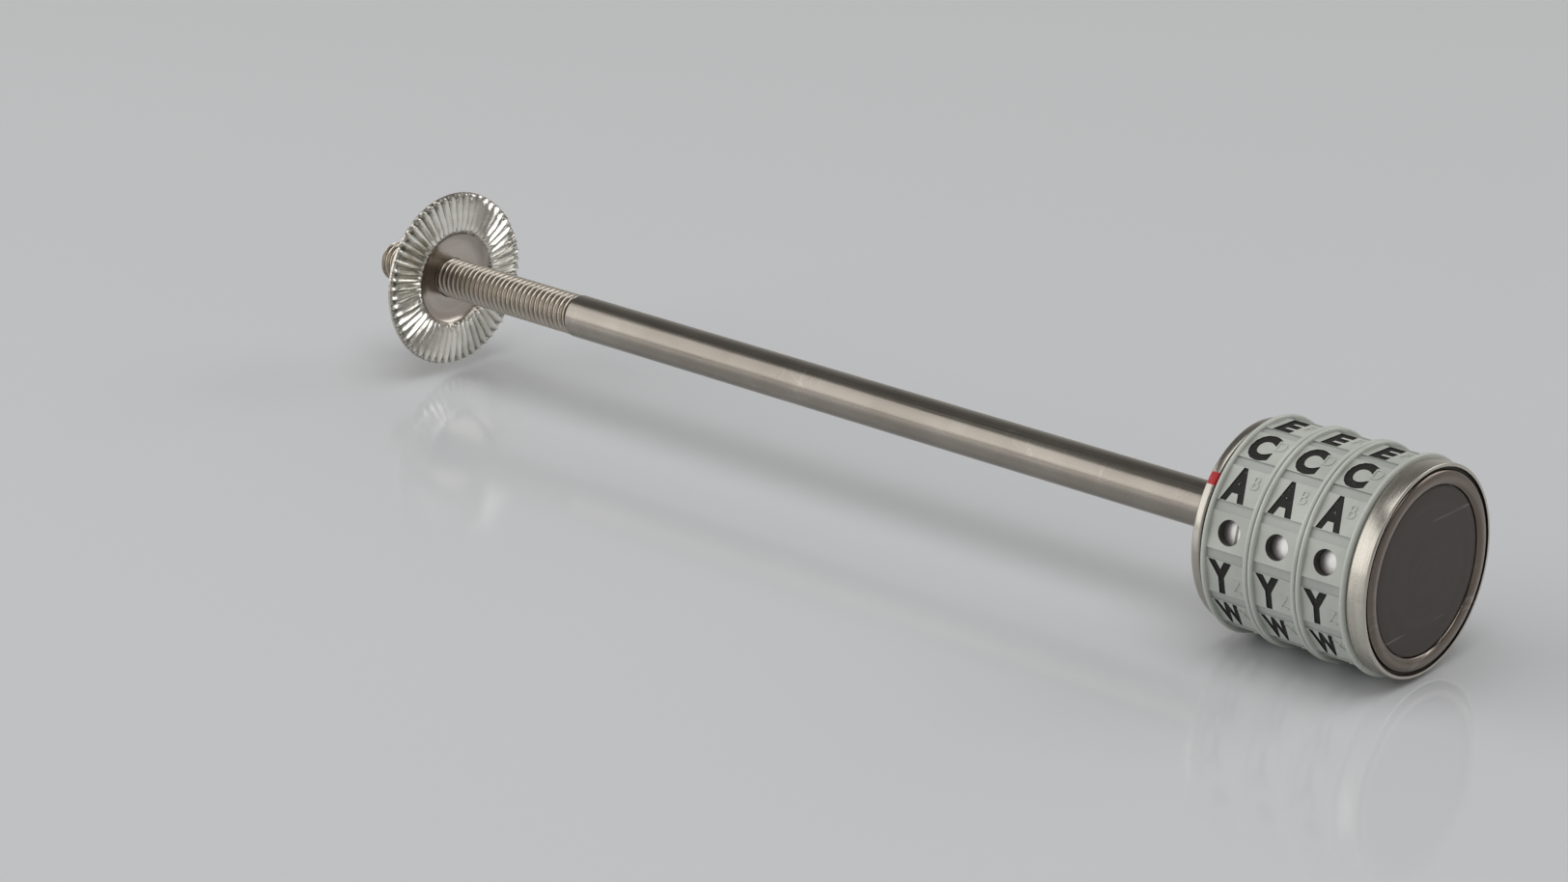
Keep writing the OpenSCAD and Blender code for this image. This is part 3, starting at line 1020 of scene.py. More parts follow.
@dataclass
class Skewer:
    """The rod with its thread, and the head with its hex socket."""

    rod: float = 2.55
    thread: float = 2.45
    root: float = 1.97
    lead: float = 0.8
    tip: float = -132.1
    thread_length: float = 33.0
    tip_chamfer: float = 0.6
    head: float = 5.0
    head_height: float = 6.0
    head_end: float = 19.2
    head_round: float = 0.9
    socket: float = 5.0
    socket_depth: float = 4.0
    mouth: float = 0.45
    mouth_depth: float = 0.4
    segments: int = 128
    thread_steps: int = 32
    weld: float = 0.001

    @property
    def thread_end(self) -> float:
        """Where the thread runs out into the plain rod."""
        return self.tip + self.thread_length

    def build_shank(self) -> Piece:
        """The plain rod with the head on it, turned, then broached."""
        under = self.head_end - self.head_height
        bend = self.head_round
        profile = [(self.thread_end, 0), (self.thread_end, self.thread),
                   (self.thread_end + 0.1, self.rod), (under - 0.2, self.rod),
                   (under, self.rod + 0.2), (under, self.head - 0.3), (under + 0.3, self.head)]
        profile += rounding(self.head_end - bend, self.head - bend, bend, 90, 0)
        mouth, seat = self.socket / 2 + self.mouth, self.head_end - self.mouth_depth
        profile += [(self.head_end, mouth), (seat, self.socket / 2), (seat, 0)]
        shank = Bench.turn("skewer_shank", profile, self.segments)
        Bench.clear()
        bpy.ops.mesh.primitive_cylinder_add(
            vertices=6, radius=self.socket / 2 / math.cos(math.pi / 6), depth=self.socket_depth,
            location=on_axis(self.head_end + 0.1 - self.socket_depth / 2), rotation=ALONG_AXIS)
        return Bench.combine(shank, bpy.context.object)

    def build_thread(self) -> Piece:
        """The thread: one tooth's outline carried round and along the axis, then pointed."""
        spare = 2 * self.lead
        start = self.tip - spare
        turns = int((self.thread_length + 2 * spare) / self.lead) - 1
        Bench.clear()
        bpy.ops.mesh.primitive_plane_add(size=0.1, location=on_axis(start))
        thread = Bench.named("skewer_thread")
        bpy.ops.object.mode_set(mode="EDIT")
        bpy.ops.mesh.select_all(action="SELECT")
        bpy.ops.mesh.merge(type="CENTER")
        bpy.ops.transform.translate(value=(0, 0, self.root))
        rise = self.thread - self.root
        # Each step along the axis, for a lead of 0.8, and its climb.
        outline = ((0.07, 0.0), (0.21, rise * 0.9), (0.08, rise * 0.1), (0.08, 0.0),
                   (0.08, -rise * 0.1), (0.21, -rise * 0.9), (0.07, 0.0))
        for step, climb in outline:
            bpy.ops.mesh.extrude_region_move(
                TRANSFORM_OT_translate={"value": (step * self.lead / 0.8, 0, climb)})
        bpy.ops.object.mode_set(mode="OBJECT")
        Bench.modify(thread, "SCREW", axis="X", angle=2 * math.pi, screw_offset=self.lead,
                     iterations=turns, steps=self.thread_steps, render_steps=self.thread_steps,
                     use_merge_vertices=True, merge_threshold=self.weld)
        bpy.ops.object.mode_set(mode="EDIT")
        bpy.ops.mesh.select_all(action="SELECT")
        bpy.ops.mesh.remove_doubles(threshold=self.weld)
        bpy.ops.mesh.fill_holes(sides=0)
        bpy.ops.mesh.select_all(action="SELECT")
        bpy.ops.mesh.normals_make_consistent(inside=False)
        bpy.ops.object.mode_set(mode="OBJECT")
        Bench.apply()
        spare = 0.15
        wide, point, end = self.thread + spare, self.tip_chamfer + spare, self.thread_end + 0.05
        pointed = Bench.turn("point", [(self.tip, 0), (self.tip, wide - point),
                                       (self.tip + point, wide), (end, wide), (end, 0)], 96)
        return Bench.combine(thread, pointed, "INTERSECT")

    def dress(self) -> None:
        """Builds, coats and sets down the skewer."""
        shank = self.build_shank()
        Finishes.coat(shank, Finishes.ROD)
        thread = self.build_thread()
        Finishes.coat(thread, Finishes.THREAD)
        Bench.set_down(shank, Body.SKEWER, Slot.SKEWER, ["skewer"])
        Bench.set_down(thread, Body.SKEWER, Slot.SKEWER, sharp=24)


@dataclass
class ConeNut:
    """The cone nut, whose toothed face bites into the dropout.

    The gaps between the teeth lean inwards by `lean` of their depth where they run out at
    the rim. The teeth are made uneven by a cloud pattern: its scale, height and middle.
    """

    face: float = -120.0
    radius: float = 10.75
    top: float = 4.0
    height: float = 7.5
    rim: float = 1.1
    face_end: float = 0.8
    bore: float = 2.5
    dish: float = 5.9
    dish_depth: float = 1.3
    teeth: int = 56
    wave: int = 6
    reach: float = 0.05
    rim_band: float = 0.5
    lean: float = 0.8
    unevenness: Triple = (0.55, 0.28, 0.75)
    rings: int = 13

    def cone(self) -> List[Station]:
        """The stations of the turned cone, from its rim to its small end."""
        run = (self.radius - self.top) / (self.height - self.rim)
        gap = (self.height - self.rim - 0.8) / self.rings
        stations: List[Station] = []
        for i in range(self.rings):
            down = self.rim + 0.4 + i * gap
            wide = self.radius - run * (down - self.rim)
            stations += [(self.face - down, wide),
                         (self.face - down - 0.1, wide - 0.05 - run * 0.1),
                         (self.face - down - 0.2, wide - run * 0.2)]
        return stations

    def crown(self) -> List[Tuple[float, float, float]]:
        """Radius, drop below the face and depth of the gaps, from the dish to the rim."""
        wide = self.radius
        return [(self.dish, 0.4, 0.12), (self.dish + 0.35, 0.14, 0.34),
                (self.dish + 1.1, 0.02, 0.5), (8.2, 0.0, 0.52), (9.3, 0.03, 0.54),
                (10.0, 0.1, 0.54), (wide - 0.35, 0.2, 0.54), (wide - 0.08, 0.36, 0.46)]

    def cut_teeth(self, nut: Piece) -> None:
        """Sinks the gaps between the teeth as smooth waves, then makes them a little uneven.

        Args:
            nut: the turned nut, with `wave` vertices for each tooth on a ring.
        """
        front = FLANGE_X + self.face - 1
        Bench.only(nut)
        bpy.ops.object.mode_set(mode="EDIT")
        bpy.ops.mesh.select_mode(type="VERT")
        for radius, _, depth in self.crown():
            for step in range(1, self.wave // 2 + 1):
                sunk = depth * (1 - math.cos(2 * math.pi * step / self.wave)) / 2

                def in_gap(place: Triple) -> bool:
                    """Whether a vertex is on this ring, this far from a crest."""
                    if place[0] <= front or abs(from_axis(place) - radius) > self.reach:
                        return False
                    turn = math.atan2(place[1], place[2] - AXIS_Z) / (2 * math.pi)
                    phase = round(turn * self.wave * self.teeth) % self.wave
                    return min(phase, self.wave - phase) == step

                Bench.select(in_gap)
                bpy.ops.transform.translate(value=(-sunk, 0, 0))
                if radius > self.radius - self.rim_band:
                    Bench.widen(1 - self.lean * sunk / self.radius, self.face)
        Bench.select(lambda place: from_axis(place) > self.dish and place[0] > front)
        bpy.ops.object.vertex_group_add()
        bpy.ops.object.vertex_group_assign()
        bpy.ops.object.mode_set(mode="OBJECT")
        clouds = bpy.data.textures.new("tooth_unevenness", "CLOUDS")
        clouds.noise_scale, height, middle = self.unevenness
        Bench.modify(nut, "DISPLACE", texture=clouds, strength=height, mid_level=middle,
                     vertex_group=nut.vertex_groups[0].name)

    def build(self) -> Piece:
        """The whole nut."""
        face, wide = self.face, self.radius
        foot, sweep = face - self.dish_depth, (1.6, 0.9)
        profile = [(foot, self.bore)]
        for t in (0.0, 0.35, 0.7, 1.05, 1.4):
            profile.append((foot + sweep[1] * (1 - math.cos(t)),
                            self.dish - 0.05 + sweep[0] * (math.sin(t) - 1)))
        profile += [(face - drop, radius) for radius, drop, _ in self.crown()]
        profile += [(face - self.face_end, wide), (face - self.rim, wide)]
        profile += self.cone()
        back = face - self.height
        profile += [(back + 0.35, self.top + 0.25), (back + 0.1, self.top + 0.05),
                    (back, self.top - 0.2), (back, self.bore + 0.4), (back + 0.4, self.bore)]
        nut = Bench.turn("cone_nut_dressed", profile, self.wave * self.teeth)
        self.cut_teeth(nut)
        return nut

    def dress(self) -> None:
        """Builds, coats and sets down the nut."""
        nut = self.build()
        # The face gets painted light and the dish painted shade; the cone keeps the plain tone.
        Finishes.coat(nut, Finishes.NUT, Finishes.DISH_SHADE, Finishes.CONE)
        face_end, floor = self.face - self.face_end, self.face - self.dish_depth - 0.1
        Finishes.touch_up(nut, 2, lambda along, radius: along < face_end)
        Finishes.touch_up(nut, 1, lambda along, radius: along > floor and radius < self.dish)
        Bench.set_down(nut, Body.NUT, Slot.NUT, ["cone_nut"], sharp=50)


# The locking sleeve


@dataclass
class LockingSleeve:
    """The flange with its red mark, and the lugged post that the barrel slides over."""

    flange: float = 10.95
    thick: float = 1.6
    rim: float = 1.1
    neck: float = 0.45
    chamfer: float = 0.3
    bore: float = 2.6
    post: float = 6.4
    head_bore: float = 5.5
    shoulder: float = 13.15
    post_end: float = 20.3
    band: float = 0.95
    land: float = 1.05
    seat_tip: float = 0.05
    seat_radius: float = 0.55
    seat_depth: float = 0.7
    lug_rise: float = 1.2
    lug_width: float = 1.6
    lug_length: float = 1.0
    lug_root: float = 0.4
    lug_ease: float = 0.12
    first_lug: float = 1.75
    pitch: float = 5.85
    rows: int = 4
    mark_width: float = 1.4
    mark_depth: float = 0.35

    @property
    def lug_tip(self) -> float:
        """How far the lugs' tips are from the axis."""
        return self.post + self.lug_rise

    def build_body(self) -> Piece:
        """The flange and post, turned in one."""
        c, t, band = self.chamfer, self.thick, self.flange - self.band
        land, rim, neck = self.lug_tip + self.land, self.rim, self.flange - self.neck
        profile = [(0, self.bore + 0.2), (0.3, self.post - 1.4), (0.3, self.post - 0.6),
                   (0, self.post - 0.3), (0, self.flange - c)]
        profile += rounding(c, self.flange - c, c, 180, 90, 4)
        profile += rounding(rim - 0.2, self.flange - 0.2, 0.2, 90, 0, 4)
        profile += [(rim, neck + 0.05), (rim + 0.05, neck), (t, neck), (t, band),
                    (t - 0.2, band - 0.2), (t - 0.2, land + 0.1), (t - 0.1, land),
                    (t - 0.1, self.post + 0.3)]
        profile += rounding(t + 0.2, self.post + 0.3, 0.3, 270, 180, 4)[1:]
        profile += [(self.post_end - 0.2, self.post), (self.post_end - 0.05, self.post - 0.06),
                    (self.post_end, self.post - 0.2), (self.post_end, self.head_bore + 0.2),
                    (self.post_end - 0.2, self.head_bore), (self.shoulder, self.head_bore),
                    (self.shoulder, self.bore), (0.2, self.bore)]
        return Bench.turn("locking_sleeve_dressed", profile)

    def build_lugs(self) -> Piece:
        """Every row of lugs, their tips rounded to one cylinder."""
        rise = self.lug_rise + 2 * self.lug_root
        middle = self.post - self.lug_root + rise / 2
        first, foot, last = self.first_lug + self.lug_length / 2, self.post - 0.3, self.post_end + 1
        lugs = Bench.join([Bench.block(first + row * self.pitch, middle, angle,
                                       (self.lug_length, self.lug_width, rise))
                           for row in range(self.rows) for angle in DIALLING.lug_angles()], "lugs")
        skin = Bench.turn("lug_skin", [(0.5, foot), (0.5, self.lug_tip), (last, self.lug_tip),
                                       (last, foot)])
        return Bench.soften(Bench.combine(lugs, skin, "INTERSECT"), self.lug_ease)

    def build_seats(self) -> Piece:
        """Pointed tools for the round dimples in the flange's face."""
        tools = []
        radius = (self.flange - self.band + self.lug_tip + self.land) / 2
        for place in range(DIALLING.places):
            Bench.clear()
            bpy.ops.mesh.primitive_cone_add(
                vertices=24, radius1=self.seat_tip, radius2=self.seat_radius,
                depth=self.seat_depth,
                location=round_axis(self.thick - 0.05, radius, DIALLING.angle(place + 0.5)),
                rotation=ALONG_AXIS)
            Bench.apply()
            tools.append(bpy.context.object)
        return Bench.join(tools, "seat_tools")

    def mark_block(self) -> Piece:
        """The block that the index mark fills."""
        foot = self.chamfer / 2
        return Bench.block((foot + self.rim) / 2 + 0.1, self.flange - self.mark_depth + 0.5,
                           DIALLING.index, (self.rim - foot + 0.2, self.mark_width, 1))

    def dress(self) -> None:
        """Builds, coats and sets down the sleeve and its mark."""
        sleeve = self.build_body()
        mark = Bench.copy(sleeve, "index_mark_dressed")
        mark = Bench.combine(mark, self.mark_block(), "INTERSECT")
        sleeve = Bench.combine(sleeve, self.mark_block())
        sleeve = Bench.combine(sleeve, self.build_seats())
        sleeve = Bench.combine(sleeve, self.build_lugs(), "UNION")
        Finishes.coat(sleeve, Finishes.SLEEVE, Finishes.SHADE_IN_GAP)
        # The neck groove behind the flange's rim gets painted shade.
        rim, neck = self.rim + 0.02, self.flange - self.neck - 0.05
        Finishes.touch_up(sleeve, 1,
                          lambda along, radius: rim < along < self.thick and radius > neck)
        Finishes.coat(mark, Finishes.MARK)
        Bench.set_down(sleeve, Body.SLEEVE, Slot.SLEEVE, ["locking_sleeve"])
        Bench.set_down(mark, Body.SLEEVE, Slot.MARK, ["index_mark"])


# The lock barrel


@dataclass
class LockBarrel:
    """The slotted core with its end plate, the cap and the bare disc in it."""

    start: float = 1.65
    core_in: float = 6.5
    core: float = 7.0
    plate: float = 9.25
    plate_thick: float = 1.2
    slot: float = 7.75
    slot_width: float = 1.9
    floor: float = 20.4
    floor_thick: float = 0.6
    cap_start: float = 19.25
    cap: float = 11.25
    wall: float = 0.4
    groove: float = 0.3
    wall_end: float = 21.45
    cap_end: float = 21.65
    disc: float = 8.95
    disc_thick: float = 0.3
    bead_rise: float = 0.4
    bead_steps: int = 14

    @property
    def seat(self) -> float:
        """Where the cap's floor ends and the disc lies on it."""
        return self.floor + self.floor_thick

    def slots(self, first: float, last: float) -> Piece:
        """Tools for the slots that let the lugs pass.

        Args:
            first: where they start along the axis.
            last: where they end.

        Returns:
            The tools, as one piece.
        """
        height = self.slot - self.core_in + 0.6
        tools = [Bench.block((first + last) / 2, self.slot - height / 2, angle,
                             (last - first, self.slot_width, height))
                 for angle in DIALLING.lug_angles()]
        return Bench.join(tools, "slot_tools")

    def build_core(self) -> Piece:
        """The end plate and the tube, turned in one, then slotted."""
        s, end = self.start, self.start + self.plate_thick
        profile = [(s, self.core_in + 0.2), (s, self.slot + 0.35), (s + 0.12, self.slot + 0.5),
                   (s + 0.12, self.plate - 0.55), (s, self.plate - 0.4), (s, self.plate - 0.15),
                   (s + 0.15, self.plate), (end, self.plate), (end, self.core),
                   (self.floor, self.core), (self.floor, self.core_in), (s + 0.2, self.core_in)]
        core = Bench.turn("lock_core_dressed", profile)
        core = Bench.combine(core, self.slots(s - 1, self.floor + 1))
        return Bench.soften(core, 0.05, 50)

    def build_cap(self) -> Piece:
        """The cap, with its outer wall, the groove inside that, and the round bead."""
        wall_end, pocket, rim = self.wall_end, self.disc + 0.05, self.core + 0.01
        groove = self.cap - self.wall
        bead = groove - self.groove
        profile = [(self.floor, 0), (self.floor, rim), (self.cap_start, rim),
                   (self.cap_start, self.cap - 0.2)]
        profile += rounding(self.cap_start + 0.2, self.cap - 0.2, 0.2, 180, 90, 4)
        profile += rounding(wall_end - 0.15, self.cap - 0.15, 0.15, 90, 0, 4)
        profile += [(wall_end, groove + 0.05), (wall_end - 0.05, groove),
                    (wall_end - 0.25, groove), (wall_end - 0.3, groove - 0.05),
                    (wall_end - 0.3, bead + 0.03), (wall_end - 0.27, bead)]
        middle, half = (bead + pocket) / 2, (bead - pocket) / 2
        for i in range(self.bead_steps + 1):
            turn = math.pi * i / self.bead_steps
            profile.append((self.cap_end - self.bead_rise * (1 - math.sin(turn)),
                            middle + half * math.cos(turn)))
        profile += [(self.seat, pocket), (self.seat, 0)]
        cap = Bench.turn("end_cap_dressed", profile)
        return Bench.combine(cap, self.slots(self.cap_start - 1, self.floor))

    def build_disc(self) -> Piece:
        """The bare disc, slightly crowned at its edge."""
        top = self.seat + self.disc_thick
        profile = [(self.seat, 0), (self.seat, self.disc), (top - 0.12, self.disc),
                   (top - 0.04, self.disc - 0.04), (top - 0.01, self.disc - 0.12),
                   (top, self.disc - 0.3), (top, self.disc - 1.2), (top, 3), (top, 0)]
        return Bench.turn("cap_disc_dressed", profile)

    def dress(self) -> None:
        """Builds, coats and sets down the core, the cap and the disc."""
        core, cap, disc = self.build_core(), self.build_cap(), self.build_disc()
        Finishes.coat(core, Finishes.CORE)
        Finishes.coat(cap, Finishes.CAP, Finishes.BEAD_SHADE, Finishes.SHADE_IN_GAP)
        inside, bead = self.cap - self.wall + 0.03, self.cap - self.wall - self.groove - 0.01
        seat = self.seat - 0.05
        # The cap's face inside the groove, with its bead, gets painted shade.
        Finishes.touch_up(cap, 1, lambda along, radius: along > seat and radius < inside)
        # The groove inside the cap's wall gets painted shade.
        Finishes.touch_up(cap, 2, lambda along, radius: along > seat and bead < radius < inside)
        Finishes.coat(disc, Finishes.DISC)
        Bench.set_down(core, Body.BARREL, Slot.CORE, ["lock_core"])
        Bench.set_down(cap, Body.BARREL, Slot.CAP, ["end_cap"], sharp=35)
        Bench.set_down(disc, Body.BARREL, Slot.DISC, ["cap_disc"])


# The dials


@dataclass
class Dials:
    """Three alike letter dials, each with a pin that shows in its round hole."""

    bodies: Tuple[Body, ...] = (Body.DIAL_1, Body.DIAL_2, Body.DIAL_3)
    start: float = 1.70
    pitch: float = 5.85
    width: float = 5.75
    rail: float = 11.69
    rail_width: float = 0.5
    panel: float = 11.1
    groove_width: float = 1.1
    groove_depth: float = 0.3
    bore: float = 9.35
    plane_top: float = 13
    hole_foot: float = 8.5
    hole_top: float = 12.5
    pin: float = 1.35
    pin_foot: float = 8.01
    pin_sink: float = 1.1
    pin_slot: Triple = (0.3, 4, 0.6)
    pin_slot_side: float = 0.25
    pin_gap: float = 0.01
    pin_ease: float = 0.08
    letter: float = 3.85
    letter_ratio: float = 0.84
    letter_widest: float = 2.9
    letter_side: float = -0.65
    stroke: float = 0.06
    own_strokes: Tuple[Tuple[str, float], ...] = (("G", 0.04), ("S", 0.05), ("M", 0.0))
    doubling: float = 0.2
    tail: Triple = (1.5, 0.8, 1.25)
    letter_depth: float = 0.12
    partner: float = 1.5
    partner_side: float = 1.2
    partner_drop: float = -0.65
    last_partner_drop: float = 0.6
    partner_rise: float = 0.09
    alphabet: str = "ABCDEFGHIJKLMNOPQRSTUVWXYZ"

    @property
    def corner(self) -> float:
        """How far the corner between two panels is from the axis."""
        return self.panel / math.cos(math.radians(DIALLING.step / 2))

    @property
    def middle(self) -> float:
        """Where the middle of the first dial is along the axis."""
        return self.start + self.width / 2

    def build_blank(self) -> Piece:
        """The turned dial with its two round rails."""
        half = self.rail_width / 2
        last = self.start + self.width
        skin = self.corner + 0.02
        profile = [(self.start + 0.1, self.bore), (self.start, self.bore + 0.1)]
        profile += rounding(self.start + half, self.rail - half, half, 180, 0, 8)
        profile += [(self.start + self.rail_width, skin), (last - self.rail_width, skin)]
        profile += rounding(last - half, self.rail - half, half, 180, 0, 8)
        profile += [(last, self.bore + 0.1), (last - 0.1, self.bore)]
        return Bench.turn("dial_1_dressed", profile)

    def flatten(self, dial: Piece) -> Piece:
        """Planes the letter panels flat between the rails.

        Args:
            dial: the turned blank.

        Returns:
            The dial, with its panels and the grooves between them.
        """
        first, last = self.start + self.rail_width, self.start + self.width - self.rail_width
        Bench.clear()
        bpy.ops.mesh.primitive_cylinder_add(
            vertices=DIALLING.places, radius=self.corner, depth=last - first,
            location=on_axis((first + last) / 2), rotation=ALONG_AXIS)
        prism = bpy.context.object
        bpy.ops.object.transform_apply(location=False, rotation=True, scale=True)
        prism.rotation_euler = (math.radians(180 - DIALLING.angle(0.5)), 0, 0)
        Bench.apply()
        sleeve = Bench.turn("plane_tool", [(first, self.bore), (first, self.plane_top),
                                           (last, self.plane_top), (last, self.bore)], 112)
        plane = Bench.combine(sleeve, prism)
        Finishes.coat(plane, Finishes.DIAL)
        dial = Bench.combine(dial, plane)
        tools = [Bench.block(self.middle, self.corner - self.groove_depth + 0.5,
                             DIALLING.angle(i + 0.5), (last - first, self.groove_width, 1.0))
                 for i in range(DIALLING.places)]
        grooves = Bench.join(tools, "groove_tools")
        # The grooves between the panels get painted shade.
        Finishes.coat(grooves, Finishes.GROOVE_SHADE)
        return Bench.combine(dial, grooves)

    def write(self, character: str, height: float, stroke: float, side: float, drop: float,
              place: int, depth: float) -> Piece:
        """A solid letter that stands through its panel's face.

        Args:
            character: the letter.
            height: its height round the dial.
            stroke: how much its strokes are thickened, as a share of its height.
            side: its distance from the dial's middle, towards the cap.
            drop: how far it is below the panel's middle.
            place: its panel, counted upwards from the index mark.
            depth: how far it reaches on each side of the face.

        Returns:
            The letter.
        """
        Bench.clear()
        bpy.ops.object.text_add(location=(0, 0, 0))
        text = bpy.context.object
        text.data.body = character
        text.data.align_x = "CENTER"
        text.data.align_y = "CENTER"
        text.data.offset = stroke
        text.data.extrude = 0.5  # each way, so that the scale in z gives the depth
        text.data.resolution_u = 4
        bpy.ops.object.convert(target="MESH")
        size = text.dimensions
        wide = min(size[0] / size[1] * height * self.letter_ratio,
                   self.letter_widest * height / self.letter)
        xs = [v.co.x for v in text.data.vertices]
        ys = [v.co.y for v in text.data.vertices]
        centre = ((max(xs) + min(xs)) / 2, (max(ys) + min(ys)) / 2)
        bpy.ops.object.mode_set(mode="EDIT")
        bpy.ops.mesh.select_all(action="SELECT")
        bpy.ops.transform.translate(value=(-centre[0], -centre[1], 0))
        bpy.ops.mesh.remove_doubles(threshold=0.0001)
        bpy.ops.object.mode_set(mode="OBJECT")
        angle = DIALLING.angle(place)
        a = math.radians(angle)
        x, y, z = round_axis(self.middle + side, self.panel, angle)
        text.scale = (wide / size[0], height / size[1], depth)
        text.rotation_euler = outwards(angle)
        text.location = (x, y - drop * math.sin(a), z - drop * math.cos(a))
        Bench.only(text)
        Bench.apply()
        return text

    def write_large(self, character: str, place: int) -> Piece:
        """One of the large letters, with strokes as thick as its outline bears.

        A few outlines cross themselves when they are thickened, so they have strokes of their
        own. M can't be thickened at all and is written twice. Q is an O with a tail.

        Args:
            character: the letter.
            place: its panel, counted upwards from the index mark.

        Returns:
            The letter.
        """
        stroke = dict(self.own_strokes).get(character, self.stroke)
        deep, side = self.letter_depth * 2, self.letter_side
        if character == "Q":
            ring = self.write("O", self.letter, stroke, side, 0.0, place, deep)
            height, across, drop = self.tail
            return Bench.combine(
                ring, self.write("\\", height, stroke, side + across, drop, place, deep), "UNION")
        if stroke == 0:
            first, second = (self.write(character, self.letter, 0.0, side + shift, 0.0, place, deep)
                             for shift in (-self.doubling / 2, self.doubling / 2))
            return Bench.combine(first, second, "UNION")
        return self.write(character, self.letter, stroke, side, 0.0, place, deep)

    def letters(self, partners: bool) -> Piece:
        """The solid letters of one dial.

        Args:
            partners: whether these are the small second letters of each pair.

        Returns:
            The letters, as one piece.
        """
        row = []
        last = DIALLING.places - 2
        for place in range(last + 1):
            character = self.alphabet[2 * place + partners]
            if partners:
                drop = self.last_partner_drop if place == last else self.partner_drop
                row.append(self.write(character, self.partner, 0.0, self.partner_side, drop,
                                      place, self.partner_rise * 2))
            else:
                row.append(self.write_large(character, place))
        return Bench.join(row, "small_letters" if partners else "letters")

    def build(self) -> Piece:
        """The first dial, flattened, drilled and lettered."""
        blank = self.build_blank()
        # The rails get painted light.
        Finishes.coat(blank, Finishes.RAIL_LIGHT)
        dial = self.flatten(blank)
        well = Bench.spigot("hole_tool", self.middle, DIALLING.angle(-1), self.hole_foot,
                            self.hole_top, self.pin)
        fill, small = self.letters(False), self.letters(True)
        # The hole's wall gets painted shade.
        for tool, finish, operation in ((well, Finishes.HOLE_SHADE, "DIFFERENCE"),
                                        (fill, Finishes.FILL, "DIFFERENCE"),
                                        (small, Finishes.DIAL, "UNION")):
            Finishes.coat(tool, finish)
            dial = Bench.combine(dial, tool, operation)
        return dial

    def build_pin(self, number: int) -> Piece:
        """A dial's pin, with its edge eased. Only the first dial's has a slot in its end.

        Args:
            number: the dial's number, from 1.

        Returns:
            The pin.
        """
        along, angle = self.middle + (number - 1) * self.pitch, DIALLING.angle(-1)
        top = self.panel - self.pin_sink
        pin = Bench.spigot(f"dial_pin_{number}_dressed", along, angle, self.pin_foot, top,
                           self.pin - self.pin_gap)
        if number == 1:
            slot = Bench.block(along + self.pin_slot_side, top, angle, self.pin_slot)
            pin = Bench.combine(pin, slot)
        return Bench.soften(pin, self.pin_ease)

    def dress(self) -> None:
        """Builds, coats and sets down the dials and their pins."""
        first = self.build()
        dials = [first] + [Bench.copy(first, f"dial_{k + 1}_dressed", k * self.pitch)
                           for k in range(1, len(self.bodies))]
        for k, (dial, body) in enumerate(zip(dials, self.bodies), start=1):
            Bench.set_down(dial, body, Slot.DIAL, [f"dial_{k}"], sharp=25)
            pin = self.build_pin(k)
            Finishes.coat(pin, Finishes.PIN)
            Bench.set_down(pin, body, Slot.PIN, [f"dial_pin_{k}"])


@dataclass
class InnerWorks:
    """The solids that stay as they are: rings, washers, balls and springs."""

    finishes: Tuple[Tuple[str, Finish], ...] = (
        ("spacer", Finishes.CORE), ("code_ring", Finishes.RING),
        ("click_ball", Finishes.CLICK), ("click_spring", Finishes.CLICK))

    def dress(self) -> None:
        """Coats each solid by its name."""
        for name, node in frame["nodes"].items():
            for start, finish in self.finishes:
                if name.startswith(start):
                    Finishes.coat(node, finish)
                    log.info("%s: kept from the frame", name)


# The studio


@dataclass(frozen=True)
class Lamp:
    """An oblong soft lamp that faces the object.

    Its place and size are in metres. Its glow is how bright its face looks, where a white
    floor in full light is about 1.
    """

    name: str
    place: Triple
    size: Tuple[float, float]
    glow: float

    def build(self) -> None:
        """Hangs the lamp."""
        Bench.clear()
        bpy.ops.object.light_add(type="AREA", location=self.place)
        lamp = bpy.context.object
        lamp.name = self.name
        lamp.data.shape = "RECTANGLE"
        lamp.data.size, lamp.data.size_y = self.size
        lamp.data.energy = self.glow * math.pi * self.size[0] * self.size[1]
        lamp.rotation_euler = (-lamp.location).to_track_quat("-Z", "Y").to_euler()


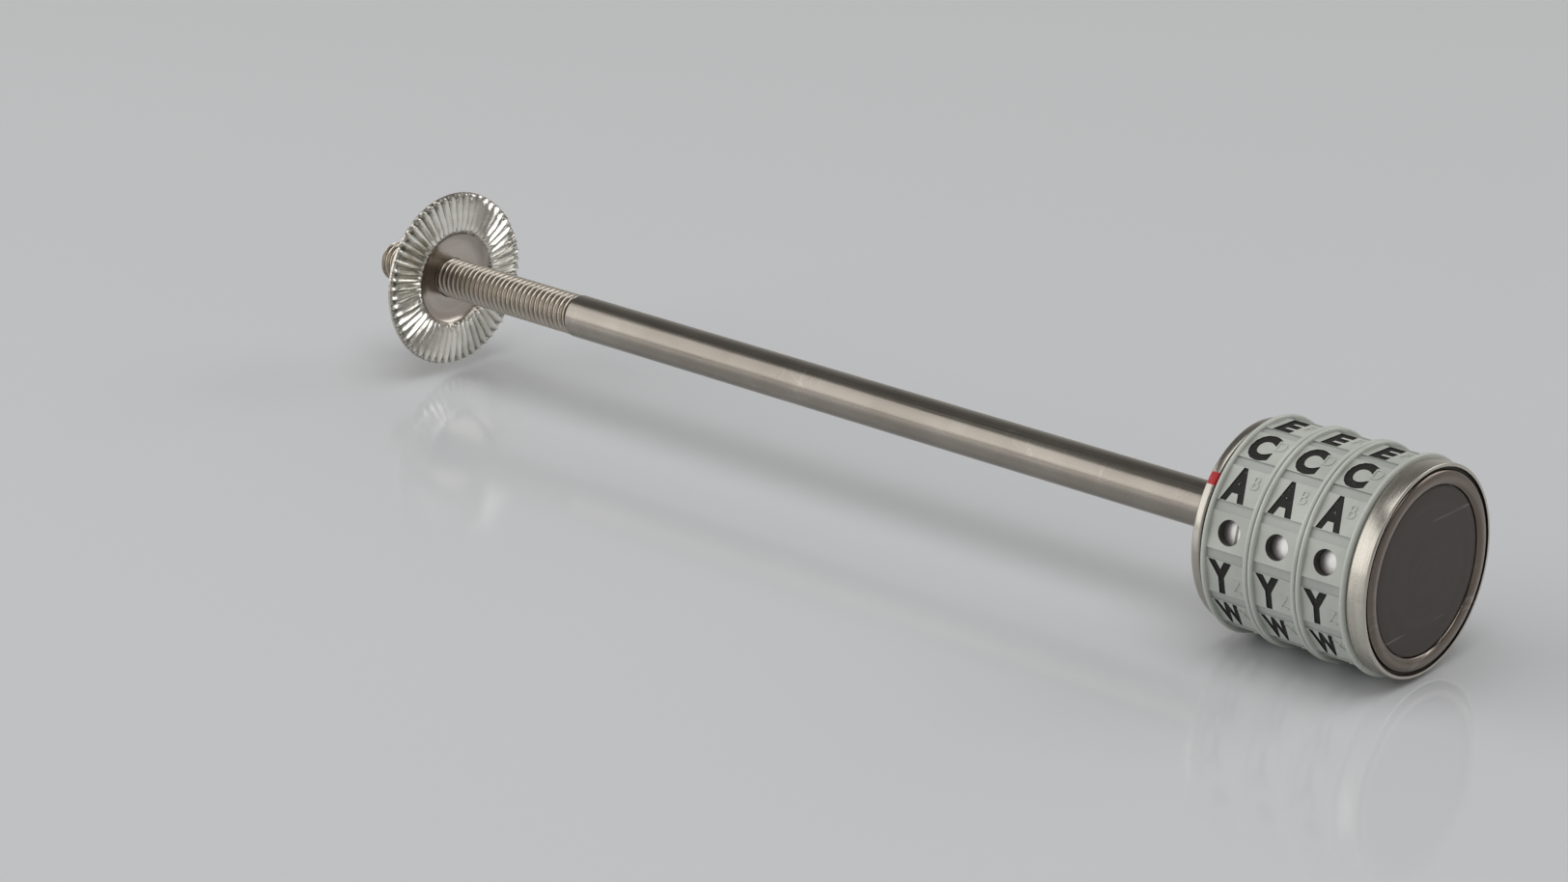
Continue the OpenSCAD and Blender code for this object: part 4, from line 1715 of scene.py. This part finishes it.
@dataclass
class Studio:
    """The floor, the lights and the camera.

    The room is a list of heights, 0 level and 1 straight up, each with its brightness.
    """

    lens: float = 90.28
    azimuth: float = 42.565
    elevation: float = 20.685
    roll: float = -0.008
    eye: Triple = (220.02, -311.47, 151.9)
    sensor: float = 36
    clip: float = 0.01
    floor: Triple = (0.685, 0.698, 0.716)
    floor_rough: float = 0.11
    floor_size: float = 20
    room: Tuple[Station, ...] = ((0, 0.5), (0.19, 0.47), (0.34, 0.38), (0.48, 0.3), (0.62, 0.22),
                                 (0.77, 0.16), (1.0, 0.2))
    room_tint: Triple = (1.0, 0.985, 0.96)
    lamps: Tuple[Lamp, ...] = (Lamp("key", (-0.6, -0.56, 0.4), (1.1, 0.78), 1.35),
                               Lamp("overhead", (0.15, -0.1, 1.0), (0.9, 0.9), 1.75),
                               Lamp("behind", (0.45, 0.75, 0.5), (0.7, 0.4), 1.6))

    def build_floor(self) -> None:
        """A plain pale floor that runs past the view."""
        Bench.clear()
        bpy.ops.mesh.primitive_plane_add(size=self.floor_size, location=(0, 0, 0))
        floor = bpy.context.object
        floor.name = "floor"
        material = bpy.data.materials.new("floor_grey")
        material.use_nodes = True
        shader = material.node_tree.nodes["Principled BSDF"]
        shader.inputs["Base Color"].default_value = (*self.floor, 1)
        shader.inputs["Roughness"].default_value = self.floor_rough
        floor.data.materials.append(material)

    def build_sky(self) -> None:
        """A pale room: bright at the walls, dimmer overhead."""
        world = bpy.data.worlds.new("room")
        bpy.context.scene.world = world
        world.use_nodes = True
        work = Shade(world.node_tree)
        background = world.node_tree.nodes["Background"]
        ramp = work.add("ValToRGB")
        work.join(work.apart(work.add("TexCoord").outputs["Generated"])[2], ramp.inputs[0])
        stops = ramp.color_ramp.elements
        stops.remove(stops[1])
        for height, tone in self.room:
            stop = stops[0] if height == 0 else stops.new(height)
            stop.color = (*(tone * part for part in self.room_tint), 1)
        work.join(ramp.outputs[0], background.inputs[0])
        background.inputs[1].default_value = 1.0

    def build_camera(self) -> None:
        """The camera, where the photograph was taken from."""
        Bench.clear()
        bpy.ops.object.camera_add(
            location=((FLANGE_X + self.eye[0]) * MM, self.eye[1] * MM, (AXIS_Z + self.eye[2]) * MM),
            rotation=(math.radians(90 - self.elevation), 0, math.radians(self.azimuth)))
        camera = bpy.context.object
        camera.rotation_euler.rotate_axis("Z", self.roll)
        camera.data.lens = self.lens
        camera.data.sensor_width = self.sensor
        camera.data.sensor_fit = "HORIZONTAL"
        camera.data.clip_start = self.clip
        bpy.context.scene.camera = camera

    def build(self) -> None:
        """Sets up the whole studio."""
        bpy.context.scene.view_settings.view_transform = "Standard"
        self.build_camera()
        self.build_floor()
        self.build_sky()
        for lamp in self.lamps:
            lamp.build()


def main() -> None:
    """Builds the studio and every piece, in order."""
    logging.basicConfig(level=logging.INFO, format="%(name)s: %(message)s")
    Studio().build()
    for assembly in (Skewer(), ConeNut(), LockingSleeve(), LockBarrel(), Dials(), InnerWorks()):
        assembly.dress()
        log.info("%s dressed", type(assembly).__name__)


if __name__ == "__main__":
    main()
